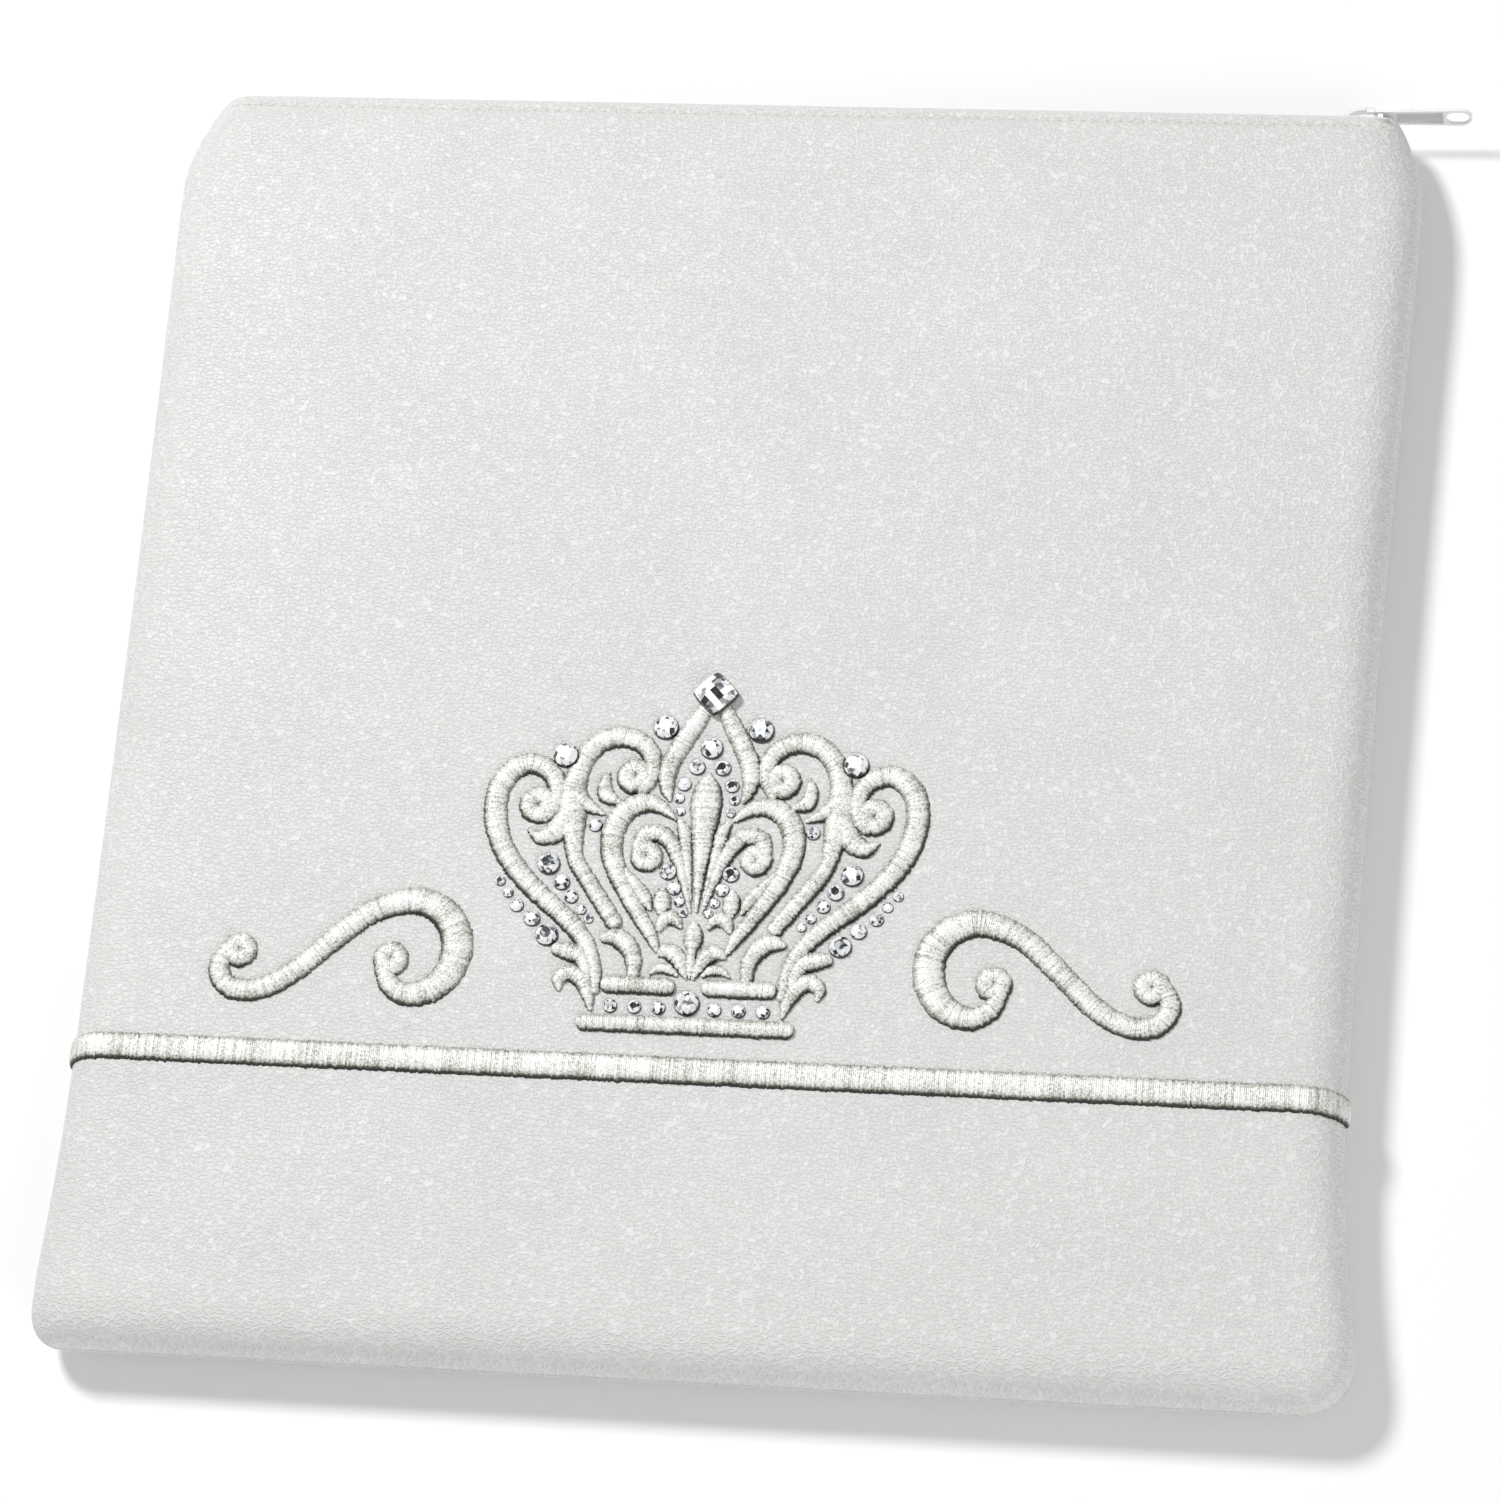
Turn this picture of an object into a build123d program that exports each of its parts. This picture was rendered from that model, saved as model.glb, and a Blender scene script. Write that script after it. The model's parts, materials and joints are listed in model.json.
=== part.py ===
from build123d import *
import os
from math import cos, pi, sin

# A soft, padded leather pouch that lies on its back. +X runs to the right, +Y to the zip,
# +Z out of the embroidered front. The origin is the centre of the back face. Millimetres.

# ---------------------------------------------------------------- driving dimensions
WIDTH = 350.0              # side seam to side seam at the corners
HEIGHT = 368.0             # bottom seam to the top of the mouth
THICKNESS = 26.0           # back face to front face when the pouch is filled out
LEFT_BOW = 2.3             # how far each side is drawn in where the satin band grips it
RIGHT_BOW = 6.0
TOP_CORNER = 15.0          # plan radii of the corners
BOTTOM_LEFT_CORNER = 10.0
BOTTOM_RIGHT_CORNER = 15.0
EDGE_ROLL = 8.0            # radius of the puffed edge between a panel and the seam

LEATHER = 1.2              # wall of the outer panels
WADDING = 2.0              # polyester wadding behind them
LINING = 0.4               # woven lining
LAYER_GAP = 0.1            # between two nested layers
SEAM_GAP = 0.3             # between the front and back panels, all round

MOUTH_FROM_LEFT = 20.0     # the zip opening stops short of each side
MOUTH_FROM_RIGHT = 13.0
MOUTH_OPENING = 13.0       # between the two folded leather edges

TAPE_THICK = 0.6           # woven zip tape
TAPE_SPACING = 2.6         # between the two tapes
TAPE_BELOW_FACE = 4.2      # the tape's far edge stays this far behind the pouch's face
TAPE_PAST_MOUTH = 3.2      # tape that runs on under the leather at each end
TAPE_DEPTH = 3.5           # tape's outer face below the top of the mouth
COIL_PITCH = 1.6
COIL_SIDE_CLEARANCE = 0.1  # between a tooth and the next one of the other row
COIL_HEIGHT = 1.7          # how far the coil stands off the tape
COIL_HALF_WIDTH = 2.2      # centre of the zip to the back of a row
COIL_SPINE = 1.3
COIL_TIP_CLEARANCE = 0.2
COIL_SPREAD = 1.5          # how far the slider's post parts each row

STOP_WALL = 0.6            # metal of the stops round the tape
STOP_GRIP = 1.8
TOP_STOP_LENGTH = 1.8
BOTTOM_STOP_LENGTH = 2.4

SLIDER_LENGTH = 13.0
SLIDER_NOSE_WIDTH = 10.4   # wide end, where the rows come in
SLIDER_TAIL_WIDTH = 8.4
SLIDER_PLATE = 1.2
SLIDER_FLANGE = 0.8
SLIDER_CLEARANCE = 0.3     # round the tape and the coil
SLIDER_END_GAP = 0.5       # to the end of the mouth, with the zip shut
SLIDER_CORNER = 1.5
POST_WIDTH = 1.6
POST_LENGTH = 3.6

BRIDGE_WIDTH = 2.8
BRIDGE_LENGTH = 10.4
BRIDGE_HEIGHT = 4.2
BRIDGE_BAND = 1.0          # thickness of the arch
BRIDGE_SHOULDER = 3.3      # each end of the arch to where its back levels out
BRIDGE_SLOPE = 0.8         # the arch is this much lower at the tail's end
PULL_LENGTH = 28.4         # hinge axis to the tip
PULL_END_WIDTH = 6.0
PULL_HINGE_WIDTH = 5.0
PULL_THICK = 1.1
PULL_BAR = 1.3             # width of the bar that the pull hangs by
PULL_LOOP = 3.8            # hinge axis to the far end of the loop round the bridge
PULL_LOOP_CLEARANCE = 0.4
PULL_RIM = 0.9
PULL_PANEL_START = 3.6     # solid metal between the loop and the sunk panel
PULL_RECESS = 0.25         # depth of the sunk panel on both faces
PULL_HOLE_LENGTH = 6.3
PULL_TWIST = 17.0          # slack in the bridge lets the pull lie turned by this much
PULL_RISE = 1.0            # degrees

STITCH_HEIGHT = 1.8        # satin stitch over foam
STITCH_EDGE = 0.5          # rounding on the plain bars
BAND_WIDTH = 8.0
BAND_HEIGHT = 1.2
BAND_FROM_BOTTOM = 80.5    # bottom seam to the middle of the band
CROWN_FROM_BOTTOM = 90.6   # bottom seam to the foot of the crown
CROWN_AXIS_X = -5.3        # the motif stands a little left of the middle
BASE_BAR_LENGTH = 58.4     # plain bar at the crown's foot
BASE_BAR = 4.4
RIM_BAR_LENGTH = 20.2      # the pair of bars above its first row of stones
RIM_BAR = 4.5
RIM_BAR_OUT = 13.6         # centre of each, from the axis
RIM_BAR_UP = 12.9
SETTING_CLEARANCE = 0.2    # stitches stop this far from a stone

STONES = {                 # flat-back diameters
    "large": 7.2,
    "medium": 6.4,
    "small": 4.7,
    "fine": 4.0,
    "tiny": 3.1,
    "seed": 2.8,
}
STONE_GIRDLE = 0.15        # heights and table as shares of the diameter
STONE_CROWN = 0.25
STONE_TABLE = 0.55
SQUARE_STONE = 10.0
SQUARE_GIRDLE = 1.2
SQUARE_CROWN = 2.0
SQUARE_TABLE = 0.6         # table as a share of the stone
SQUARE_CORNER = 1.0
SQUARE_STONE_UP = 95.5     # above the crown's foot

# ---------------------------------------------------------------- worked-out places
SEAM_Z = THICKNESS / 2
BAND_Y = BAND_FROM_BOTTOM - HEIGHT / 2
CROWN_Y = CROWN_FROM_BOTTOM - HEIGHT / 2
WADDING_INSET = LEATHER + LAYER_GAP
LINING_INSET = WADDING_INSET + WADDING + LAYER_GAP
MOUTH_LEFT = MOUTH_FROM_LEFT - WIDTH / 2
MOUTH_RIGHT = WIDTH / 2 - MOUTH_FROM_RIGHT
TAPE_TOP = HEIGHT / 2 - TAPE_DEPTH
TAPE_BOTTOM = TAPE_TOP - TAPE_THICK
TAPE_WIDTH = SEAM_Z - TAPE_SPACING / 2 - TAPE_BELOW_FACE
COIL_TOOTH = COIL_PITCH / 2 - COIL_SIDE_CLEARANCE
TAPE_LEFT = MOUTH_LEFT - TAPE_PAST_MOUTH
TAPE_RIGHT = MOUTH_RIGHT + TAPE_PAST_MOUTH
COIL_TOP = TAPE_TOP + COIL_HEIGHT
SLIDER_RIGHT = MOUTH_RIGHT - SLIDER_END_GAP
SLIDER_LEFT = SLIDER_RIGHT - SLIDER_LENGTH
SLIDER_TOP = COIL_TOP + SLIDER_CLEARANCE + SLIDER_PLATE
SPREAD_RAMP = 2 * COIL_SPREAD
SPREAD_START = SLIDER_RIGHT - POST_LENGTH - SPREAD_RAMP
BRIDGE_RIGHT = SLIDER_RIGHT - SLIDER_CLEARANCE
BRIDGE_LEFT = BRIDGE_RIGHT - BRIDGE_LENGTH
HINGE_X = BRIDGE_RIGHT - BRIDGE_BAND - PULL_BAR
HINGE_Y = SLIDER_TOP + BRIDGE_HEIGHT / 2 - SLIDER_CLEARANCE

os.makedirs("parts", exist_ok=True)


def save(node, shape):
    shape.label = node
    export_step(shape, f"parts/{node}.step")


def to_back(shape):
    """The same layer on the back of the pouch."""
    return mirror(shape, about=Plane.XY.offset(SEAM_Z))


def block(x0, x1, y0, y1, z0, z1):
    centre = Pos((x0 + x1) / 2, (y0 + y1) / 2, (z0 + z1) / 2)
    return centre * Box(x1 - x0, y1 - y0, z1 - z0)


# ---------------------------------------------------------------- the padded panels
def corner(x, y, radius, start):
    """A quarter circle in plan whose square corner would be at (x, y)."""
    turn = start * pi / 180
    cx = x - radius * (1 if cos(turn + pi / 4) > 0 else -1)
    cy = y - radius * (1 if sin(turn + pi / 4) > 0 else -1)
    return CenterArc((cx, cy), radius, start, 90)


def outline(inset):
    """Plan of the pouch, drawn in by inset: flat top and bottom, bowed sides."""
    x = WIDTH / 2 - inset
    y = HEIGHT / 2 - inset
    top = TOP_CORNER - inset
    left = BOTTOM_LEFT_CORNER - inset
    right = BOTTOM_RIGHT_CORNER - inset
    waist_left = (LEFT_BOW - x, BAND_Y)
    waist_right = (x - RIGHT_BOW, BAND_Y)
    down = (0, -1)
    edges = [
        Line((top - x, y), (x - top, y)),
        corner(x, y, top, 0),
        Spline((x, y - top), waist_right, (x, right - y), tangents=(down, down)),
        corner(x, -y, right, 270),
        Line((x - right, -y), (left - x, -y)),
        corner(-x, -y, left, 180),
        Spline((-x, y - top), waist_left, (-x, left - y), tangents=(down, down)),
        corner(-x, y, top, 90),
    ]
    return make_face(Curve() + edges)


def filled_half(inset, floor):
    """The front half of the pouch as one solid, drawn in by inset, down to z = floor."""
    solid = Pos(0, 0, floor) * extrude(outline(inset), amount=THICKNESS - inset - floor)
    rim = solid.faces().sort_by(Axis.Z)[-1].edges()
    return fillet(rim, EDGE_ROLL - inset)


def layer(inset, wall):
    """One skin of the front half, open at the seam."""
    seam = SEAM_Z + SEAM_GAP / 2
    return filled_half(inset, seam) - filled_half(inset + wall, seam - wall)


def leather_panel():
    """The outer skin, with its top wall cut away to the folded edge along the mouth."""
    fold = SEAM_Z + MOUTH_OPENING / 2
    mouth = block(MOUTH_LEFT, MOUTH_RIGHT, HEIGHT / 2 - EDGE_ROLL, HEIGHT, 0, fold)
    return layer(0, LEATHER) - mouth


def inner_layer(inset, wall):
    """Wadding or lining, which stops under the zip tape."""
    edge = TAPE_BOTTOM - STOP_WALL - LAYER_GAP
    left = TAPE_LEFT - STOP_WALL
    right = TAPE_RIGHT + STOP_WALL
    return layer(inset, wall) - block(left, right, edge, HEIGHT, 0, THICKNESS)


leather = leather_panel()
wadding = inner_layer(WADDING_INSET, WADDING)
lining = inner_layer(LINING_INSET, LINING)
save("front_leather", leather)
save("front_wadding", wadding)
save("front_lining", lining)
save("back_leather", to_back(leather))
save("back_wadding", to_back(wadding))
save("back_lining", to_back(lining))


# ---------------------------------------------------------------- the zip
def zip_plate(sketch, low, high):
    """Stands a sketch drawn in (x, z from the middle of the zip) up between two heights in Y."""
    plane = Plane(origin=(0, low, SEAM_Z), x_dir=(1, 0, 0), z_dir=(0, -1, 0))
    return extrude(plane * sketch, amount=low - high)


def spread(x):
    """How far a row stands aside at x: the slider's post parts the two rows."""
    return COIL_SPREAD * min(max((x - SPREAD_START) / SPREAD_RAMP, 0), 1)


def coil_row(shift):
    """One row of teeth as a comb, its teeth reaching across the middle of the zip."""
    first = MOUTH_LEFT + 2 * COIL_PITCH + shift
    count = int((SLIDER_RIGHT - first) / COIL_PITCH)
    root = COIL_HALF_WIDTH - COIL_SPINE
    tip = COIL_TIP_CLEARANCE - root
    comb = []
    for index in range(count):
        x = first + index * COIL_PITCH
        aside = spread(x)
        end = x + COIL_TOOTH
        comb += [(x, root + aside), (x, tip + aside), (end, tip + aside), (end, root + aside)]
    back = [
        (end, COIL_HALF_WIDTH + COIL_SPREAD),
        (SPREAD_START + SPREAD_RAMP, COIL_HALF_WIDTH + COIL_SPREAD),
        (SPREAD_START, COIL_HALF_WIDTH),
        (first, COIL_HALF_WIDTH),
    ]
    return zip_plate(make_face(Polyline(*comb, *back, close=True)), TAPE_TOP, COIL_TOP)


def tape():
    inner = SEAM_Z + TAPE_SPACING / 2
    return block(TAPE_LEFT, TAPE_RIGHT, TAPE_BOTTOM, TAPE_TOP, inner, inner + TAPE_WIDTH)


def top_stop():
    """Small clamp on the tape's edge past the slider."""
    x = MOUTH_RIGHT + SLIDER_END_GAP
    z = SEAM_Z + TAPE_SPACING / 2
    end = x + TOP_STOP_LENGTH
    low = TAPE_BOTTOM - STOP_WALL
    high = TAPE_TOP + STOP_WALL
    clamp = block(x, end, low, high, z - STOP_WALL, z + STOP_GRIP)
    return clamp - block(x, end, TAPE_BOTTOM, TAPE_TOP, z, z + STOP_GRIP)


def bottom_stop():
    """Clamp that holds both tapes together at the closed end."""
    x = MOUTH_LEFT
    end = x + BOTTOM_STOP_LENGTH
    inner = TAPE_SPACING / 2
    reach = inner + STOP_GRIP
    clamp = block(x, end, TAPE_BOTTOM - STOP_WALL, COIL_TOP, SEAM_Z - reach, SEAM_Z + reach)
    front_slot = block(x, end, TAPE_BOTTOM, TAPE_TOP, SEAM_Z + inner, SEAM_Z + reach)
    return clamp - front_slot - to_back(front_slot)


save("front_zip_tape", tape())
save("back_zip_tape", to_back(tape()))
save("front_zip_coil", coil_row(0))
save("back_zip_coil", to_back(coil_row(COIL_PITCH / 2)))
save("front_top_stop", top_stop())
save("back_top_stop", to_back(top_stop()))
save("zip_bottom_stop", bottom_stop())


# ---------------------------------------------------------------- slider and pull
def slider_plan(tail, nose):
    """Plan of a slider plate: narrow at the tail, wide at the nose, with rounded corners."""
    middle = (SLIDER_LEFT + SLIDER_RIGHT) / 2
    points = [
        (SLIDER_LEFT, -tail / 2),
        (middle, -tail / 2),
        (SLIDER_RIGHT, -nose / 2),
        (SLIDER_RIGHT, nose / 2),
        (middle, tail / 2),
        (SLIDER_LEFT, tail / 2),
    ]
    return make_face(Polyline(*points, close=True))


def slider():
    """Two plates round the tape and coil, joined by the post that parts the rows."""
    plan = slider_plan(SLIDER_TAIL_WIDTH, SLIDER_NOSE_WIDTH)
    plan = fillet(plan.vertices(), SLIDER_CORNER)
    low = TAPE_BOTTOM - SLIDER_CLEARANCE
    high = COIL_TOP + SLIDER_CLEARANCE
    bottom = zip_plate(plan, low - SLIDER_PLATE, low)
    top = zip_plate(plan, high, high + SLIDER_PLATE)
    wall = 2 * SLIDER_FLANGE
    channel = slider_plan(SLIDER_TAIL_WIDTH - wall, SLIDER_NOSE_WIDTH - wall)
    flange_foot = TAPE_TOP + SLIDER_CLEARANCE
    flanges = zip_plate(plan, flange_foot, high) - zip_plate(channel, flange_foot, high)
    half = POST_WIDTH / 2
    right = SLIDER_RIGHT - SLIDER_CLEARANCE
    post = Polyline(
        (right - POST_LENGTH, 0), (right - half, -half), (right, 0), (right - half, half), close=True
    )
    return bottom + top + flanges + zip_plate(make_face(post), low, high)


def bridge():
    """The arch on the slider that the pull hangs in."""
    foot = SLIDER_TOP
    top = foot + BRIDGE_HEIGHT
    middle = foot + BRIDGE_HEIGHT / 2
    shoulder = BRIDGE_RIGHT - BRIDGE_SHOULDER
    outer = [
        (BRIDGE_LEFT, foot),
        (BRIDGE_LEFT + BRIDGE_SHOULDER, top - BRIDGE_SLOPE),
        (shoulder, top),
        (BRIDGE_RIGHT, middle),
    ]
    inner = [
        (BRIDGE_LEFT + 1.6 * BRIDGE_BAND, foot),
        (BRIDGE_LEFT + BRIDGE_SHOULDER + BRIDGE_BAND / 2, top - BRIDGE_SLOPE - BRIDGE_BAND),
        (shoulder, top - BRIDGE_BAND),
        (BRIDGE_RIGHT - BRIDGE_BAND, middle),
    ]

    def arch(points, right):
        curve = Spline(*points, tangents=((0.4, 1), (0, -1)))
        legs = [Line(points[-1], (right, foot)), Line((right, foot), points[0])]
        return make_face(Curve() + [curve, *legs])

    profile = arch(outer, BRIDGE_RIGHT) - arch(inner, BRIDGE_RIGHT - BRIDGE_BAND)
    return Pos(0, 0, SEAM_Z - BRIDGE_WIDTH / 2) * extrude(profile, amount=BRIDGE_WIDTH)


def pull():
    """Flat tab with a loop round the bridge, a sunk panel and a finger hole."""
    end = PULL_END_WIDTH / 2
    near = PULL_HINGE_WIDTH / 2
    bar = PULL_BAR / 2
    tip = PULL_LENGTH - end
    blade = make_face(Polyline((-bar, -near), (tip, -end), (tip, end), (-bar, near), close=True))
    blade += Pos(tip, 0) * Circle(end)
    loop_width = BRIDGE_WIDTH + 2 * PULL_LOOP_CLEARANCE
    loop = Pos((bar + PULL_LOOP) / 2, 0) * Rectangle(PULL_LOOP - bar, loop_width)
    hole_centre = PULL_LENGTH - PULL_RIM - PULL_HOLE_LENGTH / 2
    hole = Pos(hole_centre, 0) * SlotOverall(PULL_HOLE_LENGTH, PULL_END_WIDTH - 2 * PULL_RIM)
    panel_left = PULL_LOOP + PULL_PANEL_START
    panel_right = hole_centre - PULL_HOLE_LENGTH / 2 - PULL_RIM
    panel = make_face(
        Polyline(
            (panel_left, PULL_RIM - near),
            (panel_right, PULL_RIM - end),
            (panel_right, end - PULL_RIM),
            (panel_left, near - PULL_RIM),
            close=True,
        )
    )
    half = PULL_THICK / 2
    tab = Pos(0, 0, -half) * extrude(blade - loop - hole, amount=PULL_THICK)
    sunk = Pos(0, 0, half - PULL_RECESS) * extrude(panel, amount=PULL_RECESS)
    tab = tab - sunk - mirror(sunk, about=Plane.XY)
    flat = Rot(90, 0, 0) * tab
    return Pos(HINGE_X, HINGE_Y, SEAM_Z) * Rot(0, 0, PULL_RISE) * Rot(-PULL_TWIST, 0, 0) * flat


save("slider_body", slider())
save("slider_bridge", bridge())
save("pull_tab", pull())


# ---------------------------------------------------------------- satin stitch
def satin(*points):
    """Plan of a satin-stitched stroke: each point is (across, up, width) of its centre line."""
    spine = [Vector(u, v) for u, v, _ in points]
    last = len(points) - 1
    left = []
    right = []
    for index, (_, _, width) in enumerate(points):
        ahead = (spine[min(index + 1, last)] - spine[max(index - 1, 0)]).normalized()
        aside = Vector(-ahead.Y, ahead.X) * (width / 2)
        left.append(spine[index] + aside)
        right.append(spine[index] - aside)
    start = spine[0] - (spine[1] - spine[0]).normalized() * (points[0][2] / 2)
    finish = spine[last] + (spine[last] - spine[last - 1]).normalized() * (points[last][2] / 2)
    side = Spline if last > 1 else Line
    edges = [
        side(*left),
        ThreePointArc(left[-1], finish, right[-1]),
        side(*right[::-1]),
        ThreePointArc(right[0], start, left[0]),
    ]
    return make_face(Curve() + edges)


def ball(u, v, radius):
    return Pos(u, v) * Circle(radius)


def mirrored(sketch):
    return mirror(sketch, about=Plane.YZ)


def on_front(sketch, height=STITCH_HEIGHT):
    """Raises a plan drawn from the foot of the crown's axis off the front face."""
    return Pos(CROWN_AXIS_X, CROWN_Y, THICKNESS) * extrude(sketch, amount=height)


# Stones: distance from the axis, height above the crown's foot. Those off the axis are pairs.
stone_places = {
    "large": [(0, 8.5), (39.5, 77), (13, 86)],
    "medium": [(0, 80.5), (41, 46), (39.5, 26)],
    "small": [(3.5, 75), (37, 41), (44, 30.5), (8.5, 45)],
    "fine": [(6.5, 70), (29.5, 57.5), (34, 37), (48.5, 34), (6.5, 40.5), (7.5, 7), (14, 7), (20.5, 7)],
    "tiny": [(7.5, 66), (31, 33.5), (51.2, 37.5), (53.7, 40.7), (4.8, 36.8)],
    "seed": [(6.8, 62.3), (28.7, 31), (3.4, 33.7)],
}


def both_sides(places):
    for u, v in places:
        yield u, v
        if u > 0:
            yield -u, v


settings = Sketch()
for size, places in stone_places.items():
    for u, v in both_sides(places):
        settings += ball(u, v, STONES[size] / 2 + SETTING_CLEARANCE)

outer_scroll = satin(
    (43.3, 58.8, 2.2),
    (41.3, 62.0, 3.6),
    (40.8, 67.0, 4.4),
    (42.3, 71.0, 5.2),
    (45.5, 73.6, 5.6),
    (49.5, 74.3, 5.6),
    (53.5, 72.3, 5.8),
    (56.3, 68.3, 5.9),
    (57.2, 62.8, 6.0),
    (56.5, 57.0, 6.0),
    (54.0, 50.4, 5.8),
    (50.0, 44.6, 5.6),
    (44.5, 38.9, 5.4),
    (38.5, 33.9, 5.2),
    (33.0, 29.1, 5.0),
    (28.7, 23.9, 4.4),
    (26.0, 18.4, 3.4),
    (25.0, 11.0, 2.0),
)
outer_scroll += ball(45.5, 62.5, 4.6)

inner_scroll = satin(
    (17.8, 67.4, 2.2),
    (15.9, 70.9, 3.4),
    (15.5, 74.9, 4.2),
    (16.8, 78.9, 5.0),
    (20.3, 81.8, 5.4),
    (25.0, 82.8, 5.5),
    (30.0, 81.4, 5.6),
    (33.8, 77.4, 5.6),
    (35.8, 71.9, 5.8),
    (36.6, 66.4, 7.5),
    (36.2, 60.4, 8.0),
    (35.2, 54.4, 5.6),
    (33.3, 50.4, 1.6),
)
inner_scroll += ball(20, 71.7, 4.4)
inner_scroll += satin(
    (35.0, 65.4, 5.0),
    (31.5, 62.6, 3.2),
    (27.3, 60.6, 0.8),
)
inner_scroll += satin(
    (37.5, 59.9, 5.5),
    (40.3, 55.1, 6.0),
    (44.0, 53.4, 4.0),
    (47.5, 55.4, 0.8),
)
inner_scroll += satin(
    (35.6, 53.5, 4.0),
    (33.8, 47.4, 4.2),
    (30.2, 41.9, 4.3),
    (26.0, 36.1, 4.3),
    (21.8, 30.4, 4.2),
)

heart = satin(
    (7.8, 59.9, 1.0),
    (11.5, 62.8, 3.2),
    (16.0, 64.3, 5.0),
    (20.8, 62.6, 5.8),
    (24.0, 57.9, 6.0),
    (24.6, 51.9, 5.8),
    (22.6, 44.9, 5.2),
    (19.0, 38.4, 4.6),
    (14.8, 31.9, 4.0),
    (11.2, 26.4, 3.0),
    (9.3, 22.6, 1.2),
)
heart += satin(
    (20.8, 45.9, 1.0),
    (17.8, 41.9, 2.8),
    (14.3, 37.4, 3.6),
    (12.3, 34.1, 1.0),
)

peak = satin(
    (2.8, 91.4, 3.6),
    (5.3, 86.9, 4.8),
    (8.3, 81.4, 5.0),
    (10.8, 75.9, 4.9),
    (11.5, 71.0, 4.2),
    (10.6, 67.0, 2.4),
    (10.0, 65.3, 1.0),
)

centre_petal = satin(
    (0, 73.0, 1.0),
    (0, 70.5, 5.4),
    (0, 66.0, 8.4),
    (0, 59.0, 7.0),
    (0, 47.0, 3.4),
    (0, 34.0, 0.8),
)
side_petal = satin(
    (17.3, 51.8, 3.0),
    (15.5, 55.2, 4.8),
    (12.0, 55.7, 4.6),
    (8.8, 53.4, 4.2),
    (6.6, 49.6, 3.6),
    (4.8, 44.9, 2.8),
    (3.2, 39.9, 2.0),
    (1.7, 33.9, 0.8),
)
side_petal += ball(14.8, 49.1, 3.8)
side_petal += satin(
    (6.6, 59.2, 1.6),
    (5.5, 57.2, 3.0),
    (4.5, 52.4, 2.8),
    (3.2, 45.4, 1.8),
    (1.8, 37.4, 0.8),
)

leaves = Pos(9.4, 36.6) * Ellipse(2.3, 3.4)
leaves += satin(
    (9.6, 28.8, 1.4),
    (8.3, 31.4, 3.4),
    (6.0, 32.1, 3.8),
    (3.8, 29.8, 1.4),
)
leaves += satin(
    (9.0, 21.4, 1.0),
    (7.3, 22.6, 3.8),
    (4.5, 21.8, 4.6),
    (2.4, 18.6, 3.0),
    (0.9, 15.2, 0.8),
)
leaves += satin(
    (10.8, 16.2, 0.8),
    (8.5, 17.8, 2.2),
    (5.6, 17.6, 2.4),
    (3.4, 16.2, 1.0),
)
crescents = satin(
    (27.2, 72.8, 0.8),
    (28.0, 69.4, 3.0),
    (27.2, 65.9, 4.2),
    (23.8, 64.3, 1.6),
)
crescents += satin(
    (24.3, 25.6, 2.0),
    (21.0, 26.1, 4.8),
    (17.5, 23.9, 5.0),
    (15.5, 19.9, 4.0),
    (15.2, 15.8, 3.0),
)

acanthus = satin(
    (36.3, 22.1, 3.2),
    (33.5, 21.6, 4.8),
    (30.3, 20.6, 4.6),
    (28.0, 16.9, 3.4),
    (27.4, 13.4, 1.6),
)
acanthus += satin(
    (34.6, 10.8, 1.0),
    (35.0, 13.6, 3.2),
    (32.5, 15.6, 4.4),
    (29.3, 14.2, 4.4),
    (27.0, 10.4, 3.4),
    (25.6, 5.4, 0.8),
)

side_scroll = satin(
    (123.5, 20.6, 3.2),
    (126.4, 17.0, 4.6),
    (127.6, 12.3, 5.4),
    (124.8, 8.1, 5.6),
    (119.6, 6.9, 5.6),
    (113.7, 8.5, 5.6),
    (107.5, 12.4, 5.6),
    (101.2, 18.3, 5.6),
    (94.5, 24.7, 5.8),
    (87.7, 30.3, 6.2),
    (81.0, 33.2, 6.8),
    (74.2, 33.9, 7.4),
    (68.0, 31.0, 8.0),
    (64.1, 25.4, 8.3),
    (63.6, 18.7, 8.3),
    (66.0, 12.8, 7.8),
    (70.4, 8.9, 7.0),
    (75.5, 7.7, 6.2),
    (80.4, 10.0, 5.2),
    (82.8, 14.2, 4.0),
)
side_scroll += ball(122.5, 18.2, 4.2)
side_scroll += ball(81, 17.4, 4.2)

rim_bar = Pos(RIM_BAR_OUT, RIM_BAR_UP) * SlotOverall(RIM_BAR_LENGTH, RIM_BAR)
base_bar = Pos(0, BASE_BAR / 2) * SlotOverall(BASE_BAR_LENGTH, BASE_BAR)
bud = Pos(0, 26.8) * Ellipse(2.4, 3.9)
bud += satin(
    (0, 23.0, 2.0),
    (0, 19.5, 2.4),
    (0, 15.4, 0.8),
)

# Strokes that meet end against each other: each stops where an earlier one runs.
crown_strokes = {
    "crown_outer_scroll": outer_scroll,
    "crown_inner_scroll": inner_scroll,
    "crown_heart": heart,
    "crown_peak": peak,
    "crown_side_petal": side_petal - centre_petal,
    "crown_crescents": crescents,
    "crown_leaves": leaves - bud,
    "crown_rim_bar": rim_bar,
    "crown_acanthus": acanthus,
}
taken = settings
for name, stroke in crown_strokes.items():
    stroke = stroke - taken
    taken += stroke
    save(f"{name}_right", on_front(stroke))
    save(f"{name}_left", on_front(mirrored(stroke)))
save("crown_centre_petal", on_front(centre_petal - settings))
save("crown_bud", on_front(bud))
save("crown_base_bar", fillet(on_front(base_bar).edges().group_by(Axis.Z)[-1], STITCH_EDGE))
save("side_scroll_right", on_front(side_scroll))
save("side_scroll_left", on_front(mirrored(side_scroll)))


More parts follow.
